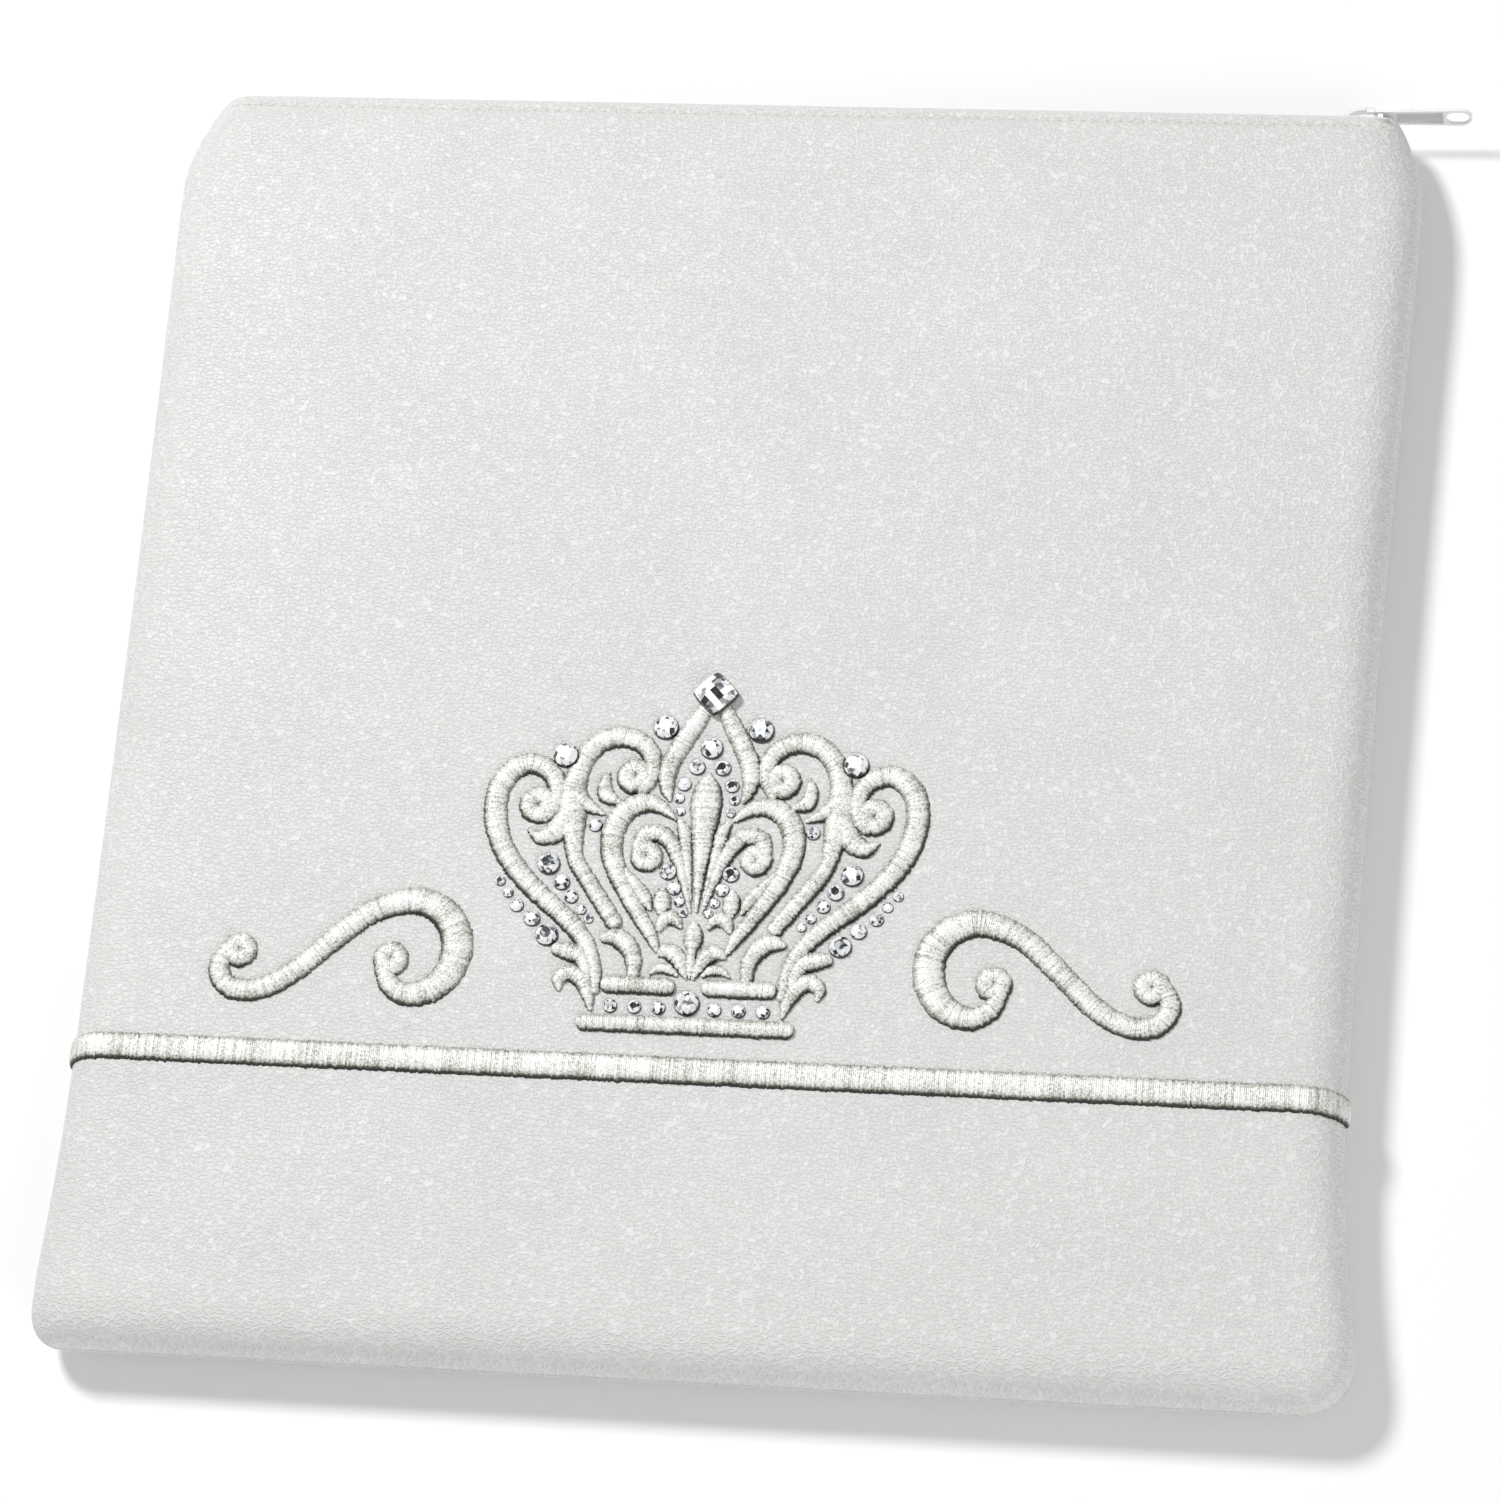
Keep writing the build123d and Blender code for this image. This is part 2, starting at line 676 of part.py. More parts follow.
def satin_band():
    """The raised band across the front, which wraps round both side edges to the seam."""
    seam = SEAM_Z + SEAM_GAP / 2
    half = BAND_WIDTH / 2
    slab = block(-WIDTH, WIDTH, BAND_Y - half, BAND_Y + half, seam, 2 * THICKNESS)
    wrapped = filled_half(-BAND_HEIGHT, seam) - filled_half(0, seam - BAND_HEIGHT)
    return wrapped & slab


save("satin_band", satin_band())


# ---------------------------------------------------------------- stones
def stone(diameter):
    """Flat-back stone: a short girdle under a bevelled crown with a flat table."""
    radius = diameter / 2
    girdle = diameter * STONE_GIRDLE
    base = Pos(0, 0, girdle / 2) * Cylinder(radius, girdle)
    crown_height = diameter * STONE_CROWN
    crown = Pos(0, 0, girdle + crown_height / 2) * Cone(radius, radius * STONE_TABLE, crown_height)
    return base + crown


def square_stone():
    """Square chequer-cut stone set cornerwise on the tips of the two peak arms."""
    plan = Rot(0, 0, 45) * RectangleRounded(SQUARE_STONE, SQUARE_STONE, SQUARE_CORNER)
    side = SQUARE_STONE * SQUARE_TABLE
    table = Rot(0, 0, 45) * RectangleRounded(side, side, SQUARE_CORNER * SQUARE_TABLE)
    girdle = extrude(plan, amount=SQUARE_GIRDLE)
    top = Pos(0, 0, SQUARE_GIRDLE + SQUARE_CROWN) * table
    crown = loft([Pos(0, 0, SQUARE_GIRDLE) * plan, top])
    return girdle + crown


for size, places in stone_places.items():
    one = stone(STONES[size])
    group = [Pos(CROWN_AXIS_X + u, CROWN_Y + v, THICKNESS) * one for u, v in both_sides(places)]
    save(f"stones_{size}", Compound(children=group))
seat = THICKNESS + STITCH_HEIGHT
save("stone_square", Pos(CROWN_AXIS_X, CROWN_Y + SQUARE_STONE_UP, seat) * square_stone())
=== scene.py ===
# %% [markdown]
# A padded pouch of white grained leather lies on its back. A zip runs along its top edge, and
# its front carries raised satin stitch: a band, a crown set with glass stones, and two scrolls.
# The construction model is loaded first. It fixes every size and every moving body, and each
# soft or stitched piece below is then made around it.

# %% Load the construction model
import json
import math

import bpy
import numpy as np
from mathutils import Matrix, Vector
from mathutils.bvhtree import BVHTree

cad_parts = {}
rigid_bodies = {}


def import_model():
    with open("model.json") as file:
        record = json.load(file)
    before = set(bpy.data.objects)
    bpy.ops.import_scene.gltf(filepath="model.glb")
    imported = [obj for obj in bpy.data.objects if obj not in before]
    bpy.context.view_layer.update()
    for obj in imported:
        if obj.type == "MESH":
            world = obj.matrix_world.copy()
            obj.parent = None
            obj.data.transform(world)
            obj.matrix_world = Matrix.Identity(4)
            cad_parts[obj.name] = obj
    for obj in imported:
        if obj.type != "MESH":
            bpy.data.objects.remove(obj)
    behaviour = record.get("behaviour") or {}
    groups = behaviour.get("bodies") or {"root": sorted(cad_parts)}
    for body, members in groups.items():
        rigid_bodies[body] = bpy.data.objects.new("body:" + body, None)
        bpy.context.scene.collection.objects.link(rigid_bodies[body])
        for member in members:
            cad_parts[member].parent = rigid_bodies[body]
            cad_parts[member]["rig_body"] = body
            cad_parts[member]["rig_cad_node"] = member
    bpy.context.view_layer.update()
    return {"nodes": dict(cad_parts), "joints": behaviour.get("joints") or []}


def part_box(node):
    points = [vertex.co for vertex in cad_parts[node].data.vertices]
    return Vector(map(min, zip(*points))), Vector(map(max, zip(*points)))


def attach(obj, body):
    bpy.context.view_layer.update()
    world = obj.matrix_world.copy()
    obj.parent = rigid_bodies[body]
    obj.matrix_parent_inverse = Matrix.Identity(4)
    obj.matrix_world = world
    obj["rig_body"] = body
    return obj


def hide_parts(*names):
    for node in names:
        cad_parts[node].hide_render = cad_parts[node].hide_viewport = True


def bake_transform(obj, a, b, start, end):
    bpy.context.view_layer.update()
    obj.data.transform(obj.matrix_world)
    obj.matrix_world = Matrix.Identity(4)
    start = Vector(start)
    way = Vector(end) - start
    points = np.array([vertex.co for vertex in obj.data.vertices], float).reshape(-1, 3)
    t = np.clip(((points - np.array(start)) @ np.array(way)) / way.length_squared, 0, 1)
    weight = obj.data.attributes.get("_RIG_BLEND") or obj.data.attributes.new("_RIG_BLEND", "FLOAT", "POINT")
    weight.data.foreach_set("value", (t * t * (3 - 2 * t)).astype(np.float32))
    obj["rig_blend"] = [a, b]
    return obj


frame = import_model()
bpy.ops.object.select_all(action="DESELECT")
MM = 0.001

# %% [markdown]
# Sizes come from the construction nodes, so a piece follows them if they change. Everything is
# worked out in millimetres and turned into metres when a mesh is made.

# %% Sizes from the nodes
def node_box(name):
    low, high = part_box(name)
    return np.array(low) / MM, np.array(high) / MM


front_low, front_high = node_box("front_leather")
back_low, _ = node_box("back_leather")
tape_low, tape_high = node_box("front_zip_tape")
band_low, band_high = node_box("satin_band")
base_low, base_high = node_box("crown_base_bar")
_, slider_high = node_box("slider_body")
TAPE_PAST_MOUTH = 3.2       # each tape runs this far beyond the mouth
HALF_WIDTH = (front_high[0] - front_low[0]) / 2
HALF_HEIGHT = (front_high[1] - front_low[1]) / 2
FACE = front_high[2]
SEAM = (front_high[2] + back_low[2]) / 2
SEAM_GAP = front_low[2] - SEAM
BAND_Y = (band_low[1] + band_high[1]) / 2
CROWN_X = (base_low[0] + base_high[0]) / 2
CROWN_Y = base_low[1]
MOUTH_LEFT = tape_low[0] + TAPE_PAST_MOUTH
MOUTH_RIGHT = tape_high[0] - TAPE_PAST_MOUTH
print("pouch", HALF_WIDTH * 2, HALF_HEIGHT * 2, FACE, "band", BAND_Y, "crown", CROWN_X, CROWN_Y)

# %% [markdown]
# The camera looks down steeply from the lower right with a long lens, so the front is almost
# undistorted. Its three axes are given as vectors, which fixes its roll as well.

# %% Camera
SENSOR = 36.0
NEAREST = 0.05
RIGHT = Vector((0.986, 0.0907, -0.1398))
UP = Vector((-0.036, 0.9352, 0.3523))
CAMERA_PLACE = Vector((0.2664, -0.5629, 1.5129))
LENS = 144.0

camera = bpy.data.objects.new("camera", bpy.data.cameras.new("camera"))
bpy.context.scene.collection.objects.link(camera)
toward = RIGHT.cross(UP).normalized()
across = UP.cross(toward).normalized()
axes = Matrix((across, UP.normalized(), toward)).transposed().to_4x4()
camera.matrix_world = Matrix.Translation(CAMERA_PLACE) @ axes
camera.data.lens = LENS
camera.data.sensor_width = SENSOR
camera.data.clip_start = NEAREST
bpy.context.scene.camera = camera
print("camera", [round(c, 3) for c in CAMERA_PLACE], "lens", LENS)

# %% [markdown]
# A material is a small tree of nodes. One helper adds a node, sets it and links it; another
# turns a hex colour, as a paint chart gives it, into the linear values that Blender mixes.

# %% Material helpers
def colour(code):
    """Linear RGBA of an sRGB hex colour."""
    parts = [int(code[i : i + 2], 16) / 255 for i in (0, 2, 4)]
    return [c / 12.92 if c <= 0.04045 else ((c + 0.055) / 1.055) ** 2.4 for c in parts] + [1.0]


def add(tree, kind, sockets=None, **settings):
    """Adds a node. A socket given another node's output is linked, and any other value is set."""
    made = tree.nodes.new(kind)
    for name, value in settings.items():
        setattr(made, name, value)
    for name, value in (sockets or {}).items():
        if isinstance(value, bpy.types.NodeSocket):
            tree.links.new(value, made.inputs[name])
        else:
            made.inputs[name].default_value = value
    return made


def new_material(name, **shader):
    """A material with one Principled shader; returns it with its tree and its shader."""
    material = bpy.data.materials.new(name)
    material.use_nodes = True
    tree = material.node_tree
    tree.nodes.clear()
    surface = add(tree, "ShaderNodeBsdfPrincipled")
    output = add(tree, "ShaderNodeOutputMaterial")
    tree.links.new(surface.outputs["BSDF"], output.inputs["Surface"])
    for name, value in shader.items():
        surface.inputs[name.replace("_", " ")].default_value = value
    return material, tree, surface


def ramp(tree, value, stops):
    """A colour ramp over value; stops are (position, hex colour)."""
    made = add(tree, "ShaderNodeValToRGB", {"Fac": value})
    elements = made.color_ramp.elements
    for index, (position, code) in enumerate(stops):
        element = elements[index] if index < 2 else elements.new(position)
        element.position = position
        element.color = colour(code)
    return made.outputs["Color"]


def per_mm(size):
    """Texture scale that makes one cell this many millimetres."""
    return 1 / (size * MM)


# %% [markdown]
# The floor is a plain white sweep, and the light is a studio's: one soft lamp from the upper
# left that models the stitching, a broad weak one opposite that lightens the near edges, and an
# even sky that keeps the shadows open.

# %% Floor and light
FLOOR_SIZE = 8
SKY = 0.41
bpy.ops.mesh.primitive_plane_add(size=FLOOR_SIZE)
floor = bpy.context.object
floor.name = "floor"
board, _, _ = new_material("matt white board", Roughness=0.9, Base_Color=colour("FAFAFA"))
floor.data.materials.append(board)

world = bpy.data.worlds.new("studio")
world.use_nodes = True
sky = world.node_tree.nodes["Background"].inputs
sky["Color"].default_value = (1, 1, 1, 1)
sky["Strength"].default_value = SKY
bpy.context.scene.world = world
bpy.context.scene.view_settings.view_transform = "Standard"


def lamp(name, place, size, watts):
    """A round soft lamp that points at the middle of the pouch."""
    data = bpy.data.lights.new(name, "AREA")
    data.shape = "DISK"
    data.size = size
    data.energy = watts
    made = bpy.data.objects.new(name, data)
    made.location = place
    made.rotation_euler = (-Vector(place)).to_track_quat("-Z", "Y").to_euler()
    bpy.context.scene.collection.objects.link(made)


lamp("key", (-0.95, 0.85, 1.8), 0.45, 33)
lamp("fill", (1.2, -1.4, 1.2), 1.4, 13)
bpy.ops.object.select_all(action="DESELECT")
print("floor, sky and two lamps")

# %% [markdown]
# The leather is chrome-tanned, white-pigmented and embossed with a fine pebble grain. The grain
# is a bump, because each pit is only about a millimetre: raised lines between Voronoi cells
# pushed about by noise, fine creases in one direction, and broad soft mottling of the colour.
# An image texture would show the grain at one size only, and would have to be laid out.

# %% Leather
PIT = 1.2
PIT_WANDER = 1.6
PIT_PUSH = 0.6
CREASE = 2.0
CREASE_SHARE = 0.22
MOTTLE = 38
GRAIN_SLANT = math.radians(30)


def leather_material():
    leather, tree, surface = new_material("white pebbled leather", Roughness=0.5, IOR=1.45)
    place = add(tree, "ShaderNodeTexCoord").outputs["Object"]
    # the hide's grain runs down to the right, so every pattern is drawn out that way; it is
    # also drawn out in depth, so that the face cuts straight through each pit
    slant = add(
        tree,
        "ShaderNodeMapping",
        {"Vector": place, "Rotation": (0, 0, GRAIN_SLANT), "Scale": (0.6, 1.0, 0.3)},
    ).outputs["Vector"]
    # pits with raised edges, their outlines wandering by up to half a pit
    wander = add(
        tree, "ShaderNodeTexNoise", {"Vector": place, "Scale": per_mm(PIT_WANDER), "Detail": 1.0}
    )
    push = add(
        tree,
        "ShaderNodeVectorMath",
        {0: wander.outputs["Color"], 1: [PIT_PUSH * MM] * 3, 2: slant},
        operation="MULTIPLY_ADD",
    )
    pits = add(
        tree,
        "ShaderNodeTexVoronoi",
        {"Vector": push.outputs[0], "Scale": per_mm(PIT)},
        feature="DISTANCE_TO_EDGE",
    )
    grain = add(
        tree,
        "ShaderNodeMapRange",
        {"Value": pits.outputs["Distance"], "From Max": 0.2, "To Min": 1.0, "To Max": 0.0},
        interpolation_type="SMOOTHSTEP",
    )
    # drawn creases a few millimetres long
    creases = add(
        tree,
        "ShaderNodeTexNoise",
        {"Vector": slant, "Scale": per_mm(CREASE), "Detail": 4.0, "Distortion": 0.6},
        noise_type="RIDGED_MULTIFRACTAL",
        normalize=True,
    )
    mottling = add(
        tree, "ShaderNodeTexNoise", {"Vector": place, "Scale": per_mm(MOTTLE), "Detail": 3.0}
    )
    height = add(
        tree,
        "ShaderNodeMath",
        {0: creases.outputs["Fac"], 1: CREASE_SHARE, 2: grain.outputs[0]},
        operation="MULTIPLY_ADD",
    )
    bump = add(
        tree, "ShaderNodeBump", {"Height": height.outputs[0], "Strength": 0.65, "Distance": 0.0003}
    )
    tree.links.new(bump.outputs["Normal"], surface.inputs["Normal"])
    tint = ramp(tree, mottling.outputs["Fac"], [(0.3, "E1E0DF"), (0.7, "E5E4E3")])
    # painted shade: the pits' floors are a little darker than the raised lines between them
    lines = ramp(tree, grain.outputs[0], [(0.0, "F6F5F4"), (0.7, "FFFFFF")])
    shown = add(
        tree,
        "ShaderNodeMix",
        {"Factor": 1.0, "A": tint, "B": lines},
        data_type="RGBA",
        blend_type="MULTIPLY",
    )
    tree.links.new(shown.outputs["Result"], surface.inputs["Base Color"])
    return leather


leather = leather_material()
print("leather ready")

# %% [markdown]
# Each half of the pouch is a padded panel: leather over wadding, drawn over a soft edge to the
# seam. A plane that is only subdivided would have square corners, so the panel is a grid of
# nested rings instead. The outer rings climb from the seam over the puffed edge, and the inner
# ones cover the face. The same rings, drawn in, make the lining.

# %% Outline of the pouch
# A corner is its length along x, its length along y, and how square it is: 1 is a straight cut
# and 2 is round.
LEFT_BOW = 2.3
RIGHT_BOW = 6.0
BOW_TOP_MARGIN = 24
BOW_BOTTOM_MARGIN = 14
ROLL = 12.0
TOP_LEFT_CORNER = (12.0, 26.0, 1.3)
TOP_RIGHT_CORNER = (9.0, 26.0, 1.4)
BOTTOM_LEFT_CORNER = (8.0, 9.0, 2.0)
BOTTOM_RIGHT_CORNER = (14.0, 14.0, 2.0)
FOLD = math.radians(30)


def bow(y):
    """Share of the full draw-in at height y: the satin band grips the sides most."""
    if y > BAND_Y:
        span = HALF_HEIGHT - BOW_TOP_MARGIN - BAND_Y
    else:
        span = BAND_Y + HALF_HEIGHT - BOW_BOTTOM_MARGIN
    return max(0.0, 1 - (abs(y - BAND_Y) / span / 0.93) ** 1.9)


def rim_point(s, t):
    """Point of the outline for a direction (s, t) on the edge of the unit square."""
    x, y = s * HALF_WIDTH, t * HALF_HEIGHT
    if t > 0:
        corner = TOP_RIGHT_CORNER if s > 0 else TOP_LEFT_CORNER
    else:
        corner = BOTTOM_RIGHT_CORNER if s > 0 else BOTTOM_LEFT_CORNER
    dx = (abs(x) - HALF_WIDTH + corner[0]) / corner[0]
    dy = (abs(y) - HALF_HEIGHT + corner[1]) / corner[1]
    if dx > 0 and dy > 0:
        reach = (dx ** corner[2] + dy ** corner[2]) ** (1 / corner[2])
        x = math.copysign(HALF_WIDTH - corner[0] * (1 - dx / reach), x)
        y = math.copysign(HALF_HEIGHT - corner[1] * (1 - dy / reach), y)
    drawn = (RIGHT_BOW if x > 0 else LEFT_BOW) * bow(y)
    return x * (1 - drawn / HALF_WIDTH), y


def mouth_share(x, margin=7.0):
    """1 along the zip, falling smoothly to 0 where the mouth ends."""
    t = min(x - MOUTH_LEFT, MOUTH_RIGHT - x) / margin
    t = min(max(t + 0.5, 0), 1)
    return t * t * (3 - 2 * t)


# %% [markdown]
# The rings are numbered from the seam inwards. RISE gives the outer ones' place on the rounded
# edge, as an angle from the seam to the face, and SPACING is the step of those on the face.
# Along the zip the rounding starts higher, because there the edge is folded in.

# %% Panels as nested rings
RISE = [0, 9, 18, 27, 36, 45, 54, 62, 70, 78, 90]
SPACING = 4.2


def panel_grid(drawn_in, depth):
    """Vertices and faces of one front panel, drawn in from the outline, with the given depth."""
    roll = ROLL - drawn_in
    inner = list(np.arange(ROLL + SPACING, HALF_WIDTH - SPACING / 2, SPACING)) + [HALF_WIDTH]
    reach = [1 - ROLL * (1 - math.cos(math.radians(a))) / HALF_WIDTH for a in RISE]
    reach += [1 - inset / HALF_WIDTH for inset in inner]
    line = np.array(reach[:-1] + [0.0] + [-r for r in reach[-2::-1]])[::-1]
    count = len(line)
    points = np.zeros((count, count, 3))
    for i in range(count):
        for j in range(count):
            level = min(i, j, count - 1 - i, count - 1 - j)
            size = max(abs(line[i]), abs(line[j]), 1e-9)
            x, y = rim_point(line[i] / size, line[j] / size)
            if level < len(RISE):
                start = 0.0
                if j == count - 1 - level and y > 0:
                    start = FOLD * mouth_share(x)
                angle = start + (math.pi / 2 - start) * RISE[level] / 90
                inset = drawn_in + roll * (1 - math.cos(angle))
                height = SEAM + SEAM_GAP + depth * math.sin(angle)
            else:
                inset = (1 - size) * HALF_WIDTH
                height = SEAM + SEAM_GAP + depth
            keep = 1 - inset / HALF_WIDTH
            points[i, j] = (x * keep, y * keep, height)
    index = np.arange(count * count).reshape(count, count)
    faces = np.stack([index[:-1, :-1], index[1:, :-1], index[1:, 1:], index[:-1, 1:]], -1)
    return points.reshape(-1, 3), faces.reshape(-1, 4)


def mesh_object(name, points, faces, material):
    """An object from points in millimetres, at the origin, with one material."""
    mesh = bpy.data.meshes.new(name)
    mesh.from_pydata([tuple(p) for p in np.asarray(points) * MM], [], [tuple(f) for f in faces])
    mesh.validate()
    mesh.update()
    made = bpy.data.objects.new(name, mesh)
    bpy.context.scene.collection.objects.link(made)
    mesh.materials.append(material)
    return made


def make_active(piece):
    bpy.ops.object.select_all(action="DESELECT")
    piece.select_set(True)
    bpy.context.view_layer.objects.active = piece


def apply_modifier(piece, kind, **settings):
    """Adds one modifier, sets it and applies it to the mesh."""
    modifier = piece.modifiers.new(kind.lower(), kind)
    for name, value in settings.items():
        setattr(modifier, name, value)
    make_active(piece)
    bpy.ops.object.modifier_apply(modifier=modifier.name)


def read_points(piece):
    points = np.zeros(len(piece.data.vertices) * 3)
    piece.data.vertices.foreach_get("co", points)
    return points.reshape(-1, 3) / MM


def write_points(piece, points):
    piece.data.vertices.foreach_set("co", (np.asarray(points) * MM).ravel())
    piece.data.update()


DEPTH = FACE - SEAM - SEAM_GAP
grid_points, grid_faces = panel_grid(0.0, DEPTH)
front_panel = mesh_object("front_panel", grid_points, grid_faces, leather)
print("front panel grid", len(grid_points), "points")

# %% [markdown]
# Wadding pushes the leather out between the places where it is held: the seams, the folded edge
# along the zip, and the stitched motif. Blender's cloth solver does that: the rim and the
# stitched area are pinned, a little pressure acts from inside, and the result is applied. The
# cloth swells by about a millimetre. If it goes further than the cap, all of it is scaled down
# together, so its own shape stays and the face keeps to the space of its construction solid.

# %% Puff the panel
# PUFF_CAP is in millimetres. The seam holds the leather up to RIM_FREE above it.
RIM_FREE = 11.5
FOLD_HELD = 5
MOTIF_EDGE = 0.8
MOTIF_FADE = 1.1
PUFF_CAP = 0.9
PUFF_PRESSURE = 0.15


def smooth_step(value):
    value = np.clip(value, 0, 1)
    return value * value * (3 - 2 * value)


def held_by_stitches(points):
    """1 where the motif holds the leather down, 0 well away from it."""
    crown = np.hypot((points[:, 0] - CROWN_X) / 62, (points[:, 1] - CROWN_Y - 46) / 56)
    scrolls = np.hypot(
        (np.abs(points[:, 0] - CROWN_X) - 96) / 42, (points[:, 1] - CROWN_Y - 19) / 24
    )
    band = np.abs(points[:, 1] - BAND_Y) / 7
    nearest = np.minimum(np.minimum(crown, scrolls), band)
    return 1 - smooth_step((nearest - MOTIF_EDGE) / MOTIF_FADE)


def puff(piece, frames, motif):
    """Blows the panel out with the cloth solver and keeps the result."""
    rest = read_points(piece)
    rim = 1 - smooth_step((rest[:, 2] - SEAM - RIM_FREE) / 1.3)
    fold = smooth_step((rest[:, 1] - (HALF_HEIGHT - FOLD_HELD)) / 2)
    hold = np.maximum(rim, fold)
    if motif:
        hold = np.maximum(hold, held_by_stitches(rest))
    group = piece.vertex_groups.new(name="held")
    for index, weight in enumerate(hold):
        if weight > 0.01:
            group.add([index], float(weight), "REPLACE")
    cloth = piece.modifiers.new("cloth", "CLOTH")
    settings = cloth.settings
    settings.vertex_group_mass = "held"
    settings.use_pressure = True
    settings.uniform_pressure_force = PUFF_PRESSURE
    settings.effector_weights.gravity = 0
    settings.mass = 0.4
    settings.tension_stiffness = 30
    settings.compression_stiffness = 30
    settings.bending_stiffness = 4
    cloth.point_cache.frame_start = 1
    cloth.point_cache.frame_end = frames
    for step in range(1, frames + 1):
        bpy.context.scene.frame_set(step)
    make_active(piece)
    bpy.ops.object.modifier_apply(modifier=cloth.name)
    bpy.context.scene.frame_set(1)
    piece.vertex_groups.clear()
    moved = read_points(piece) - rest
    furthest = float(np.linalg.norm(moved, axis=1).max())
    scale = min(1.0, PUFF_CAP / furthest)
    write_points(piece, rest + scale * moved * (1 - hold)[:, None])
    return round(furthest, 2), round(scale, 2)


print("front puffed: furthest move in mm and scale", puff(front_panel, 20, motif=True))

# %% [markdown]
# Two things mark the leather by hand: the row of stitches along the folded edge sinks a shallow
# groove, and the hide keeps slow waves and a few drawn wrinkles near the corners, where it
# is pulled round the wadding. Both are small moves along Z of a subdivided grid.

# %% Groove and waves
STITCH_ROW = math.radians(60)
GROOVE_DEPTH = 1.3
GROOVE_WIDTH = 1.1


def stitch_row_y():
    """Height up the pouch of the stitch row along the zip."""
    return (1 - ROLL * (1 - math.cos(STITCH_ROW)) / HALF_WIDTH) * HALF_HEIGHT


def waves(points, count, length, seed):
    """A sum of plane waves of about the given length in millimetres, from -1 to 1."""
    dice = np.random.default_rng(seed)
    total = np.zeros(len(points))
    for _ in range(count):
        heading = dice.uniform(0, math.pi)
        scale = 2 * math.pi / (length * dice.uniform(0.7, 1.5))
        phase = dice.uniform(0, 2 * math.pi)
        along = points[:, 0] * math.cos(heading) + points[:, 1] * math.sin(heading)
        total += np.sin(along * scale + phase)
    return total / count


def drawn_wrinkles(points, corner_x, corner_y, heading, reach, seed):
    """Fine ridges that run out of a corner and die away, from -1 to 1."""
    dx, dy = points[:, 0] - corner_x, points[:, 1] - corner_y
    across = -dx * math.sin(heading) + dy * math.cos(heading)
    fade = np.exp(-(dx**2 + dy**2) / (2 * reach**2))
    wobble = 1.2 * waves(points, 5, 28, seed)
    return fade * np.sin(2 * math.pi * across / 5.2 + 3 * wobble)


def dress(piece, motif):
    """Subdivides a panel and gives it its groove, waves and wrinkles."""
    apply_modifier(piece, "SUBSURF", levels=1, render_levels=1)
    points = read_points(piece)
    lift = np.zeros(len(points))
    open_edge = np.array([mouth_share(x, 14.0) for x in points[:, 0]])
    from_row = (points[:, 1] - stitch_row_y()) / GROOVE_WIDTH
    lift -= GROOVE_DEPTH * open_edge * np.exp(-(from_row**2))
    bulge = np.exp(-(((points[:, 1] - stitch_row_y() + 9) / 6) ** 2))
    lift += 0.35 * open_edge * bulge * (0.6 + 0.4 * waves(points, 4, 40, 3))
    face = smooth_step((points[:, 2] - SEAM - 10.5) / 2.2)
    free = face * (1 - held_by_stitches(points) if motif else 1)
    lift += free * (0.22 * waves(points, 9, 70, 11) + 0.07 * waves(points, 9, 21, 12) - 0.25)
    # x, y, heading in radians, reach in mm, and seed of each corner's wrinkles
    corners = [
        (155, -150, 0.35, 34, 5),
        (160, 120, -0.55, 26, 6),
        (-160, -150, 2.6, 24, 8),
        (-158, 150, 0.6, 22, 9),
    ]
    for x, y, heading, reach, seed in corners:
        lift += 0.16 * free * drawn_wrinkles(points, x, y, heading, reach, seed)
    points[:, 2] += lift
    write_points(piece, points)
    piece.data.shade_smooth()


dress(front_panel, motif=True)
print("front panel now", len(front_panel.data.vertices), "points, stitch row at y", stitch_row_y())

# %% [markdown]
# The back panel is the same grid without a motif, turned over. Then both get their thickness
# inwards: 1.2 mm of leather and 2 mm of wadding, as one padded wall.

# %% Back panel and walls
WALL = 3.2


def turned_over(points):
    turned = points.copy()
    turned[:, 2] = 2 * SEAM - turned[:, 2]
    return turned


back_panel = mesh_object("back_panel", grid_points, grid_faces, leather)
print("back puffed: furthest move in mm and scale", puff(back_panel, 12, motif=False))
dress(back_panel, motif=False)
back_points = turned_over(read_points(back_panel))
back_points[:, 2] = np.maximum(back_points[:, 2], 0.0)
write_points(back_panel, back_points)
back_panel.data.flip_normals()
skin = BVHTree.FromObject(front_panel, bpy.context.evaluated_depsgraph_get())


def surface_z(x, y):
    """Height of the leather under a point of the face, in millimetres."""
    hit = skin.ray_cast(Vector((x * MM, y * MM, 1.0)), Vector((0, 0, -1)))
    return hit[0].z / MM if hit[0] is not None else FACE


for panel in (front_panel, back_panel):
    apply_modifier(panel, "SOLIDIFY", thickness=WALL * MM, offset=-1)
    panel.data.shade_smooth()
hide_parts("front_leather", "front_wadding")
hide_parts("back_leather", "back_wadding")
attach(back_panel, "back")
print("face height at the crown", round(surface_z(CROWN_X, CROWN_Y + 40), 2), "of", FACE)

# %% [markdown]
# When the slider runs back, the front lifts away from the back only where the zip is open: most
# in the middle of the mouth, and not at all at the side seams, the bottom, or behind the
# slider. So every piece of the front carries a weight between the two bodies that depends on
# where each of its points lies, and the leather, stitches and stones keep together.

# %% How the mouth opens
SLIDER_ROOM = 27
SIDE_ROOM = 8
OPEN_LEFT = MOUTH_LEFT + SLIDER_ROOM
OPEN_RIGHT = HALF_WIDTH - SIDE_ROOM


def opening_share(x):
    t = np.clip((np.asarray(x) - OPEN_LEFT) / (OPEN_RIGHT - OPEN_LEFT), 0, 1)
    return np.sin(math.pi * t) ** 1.4


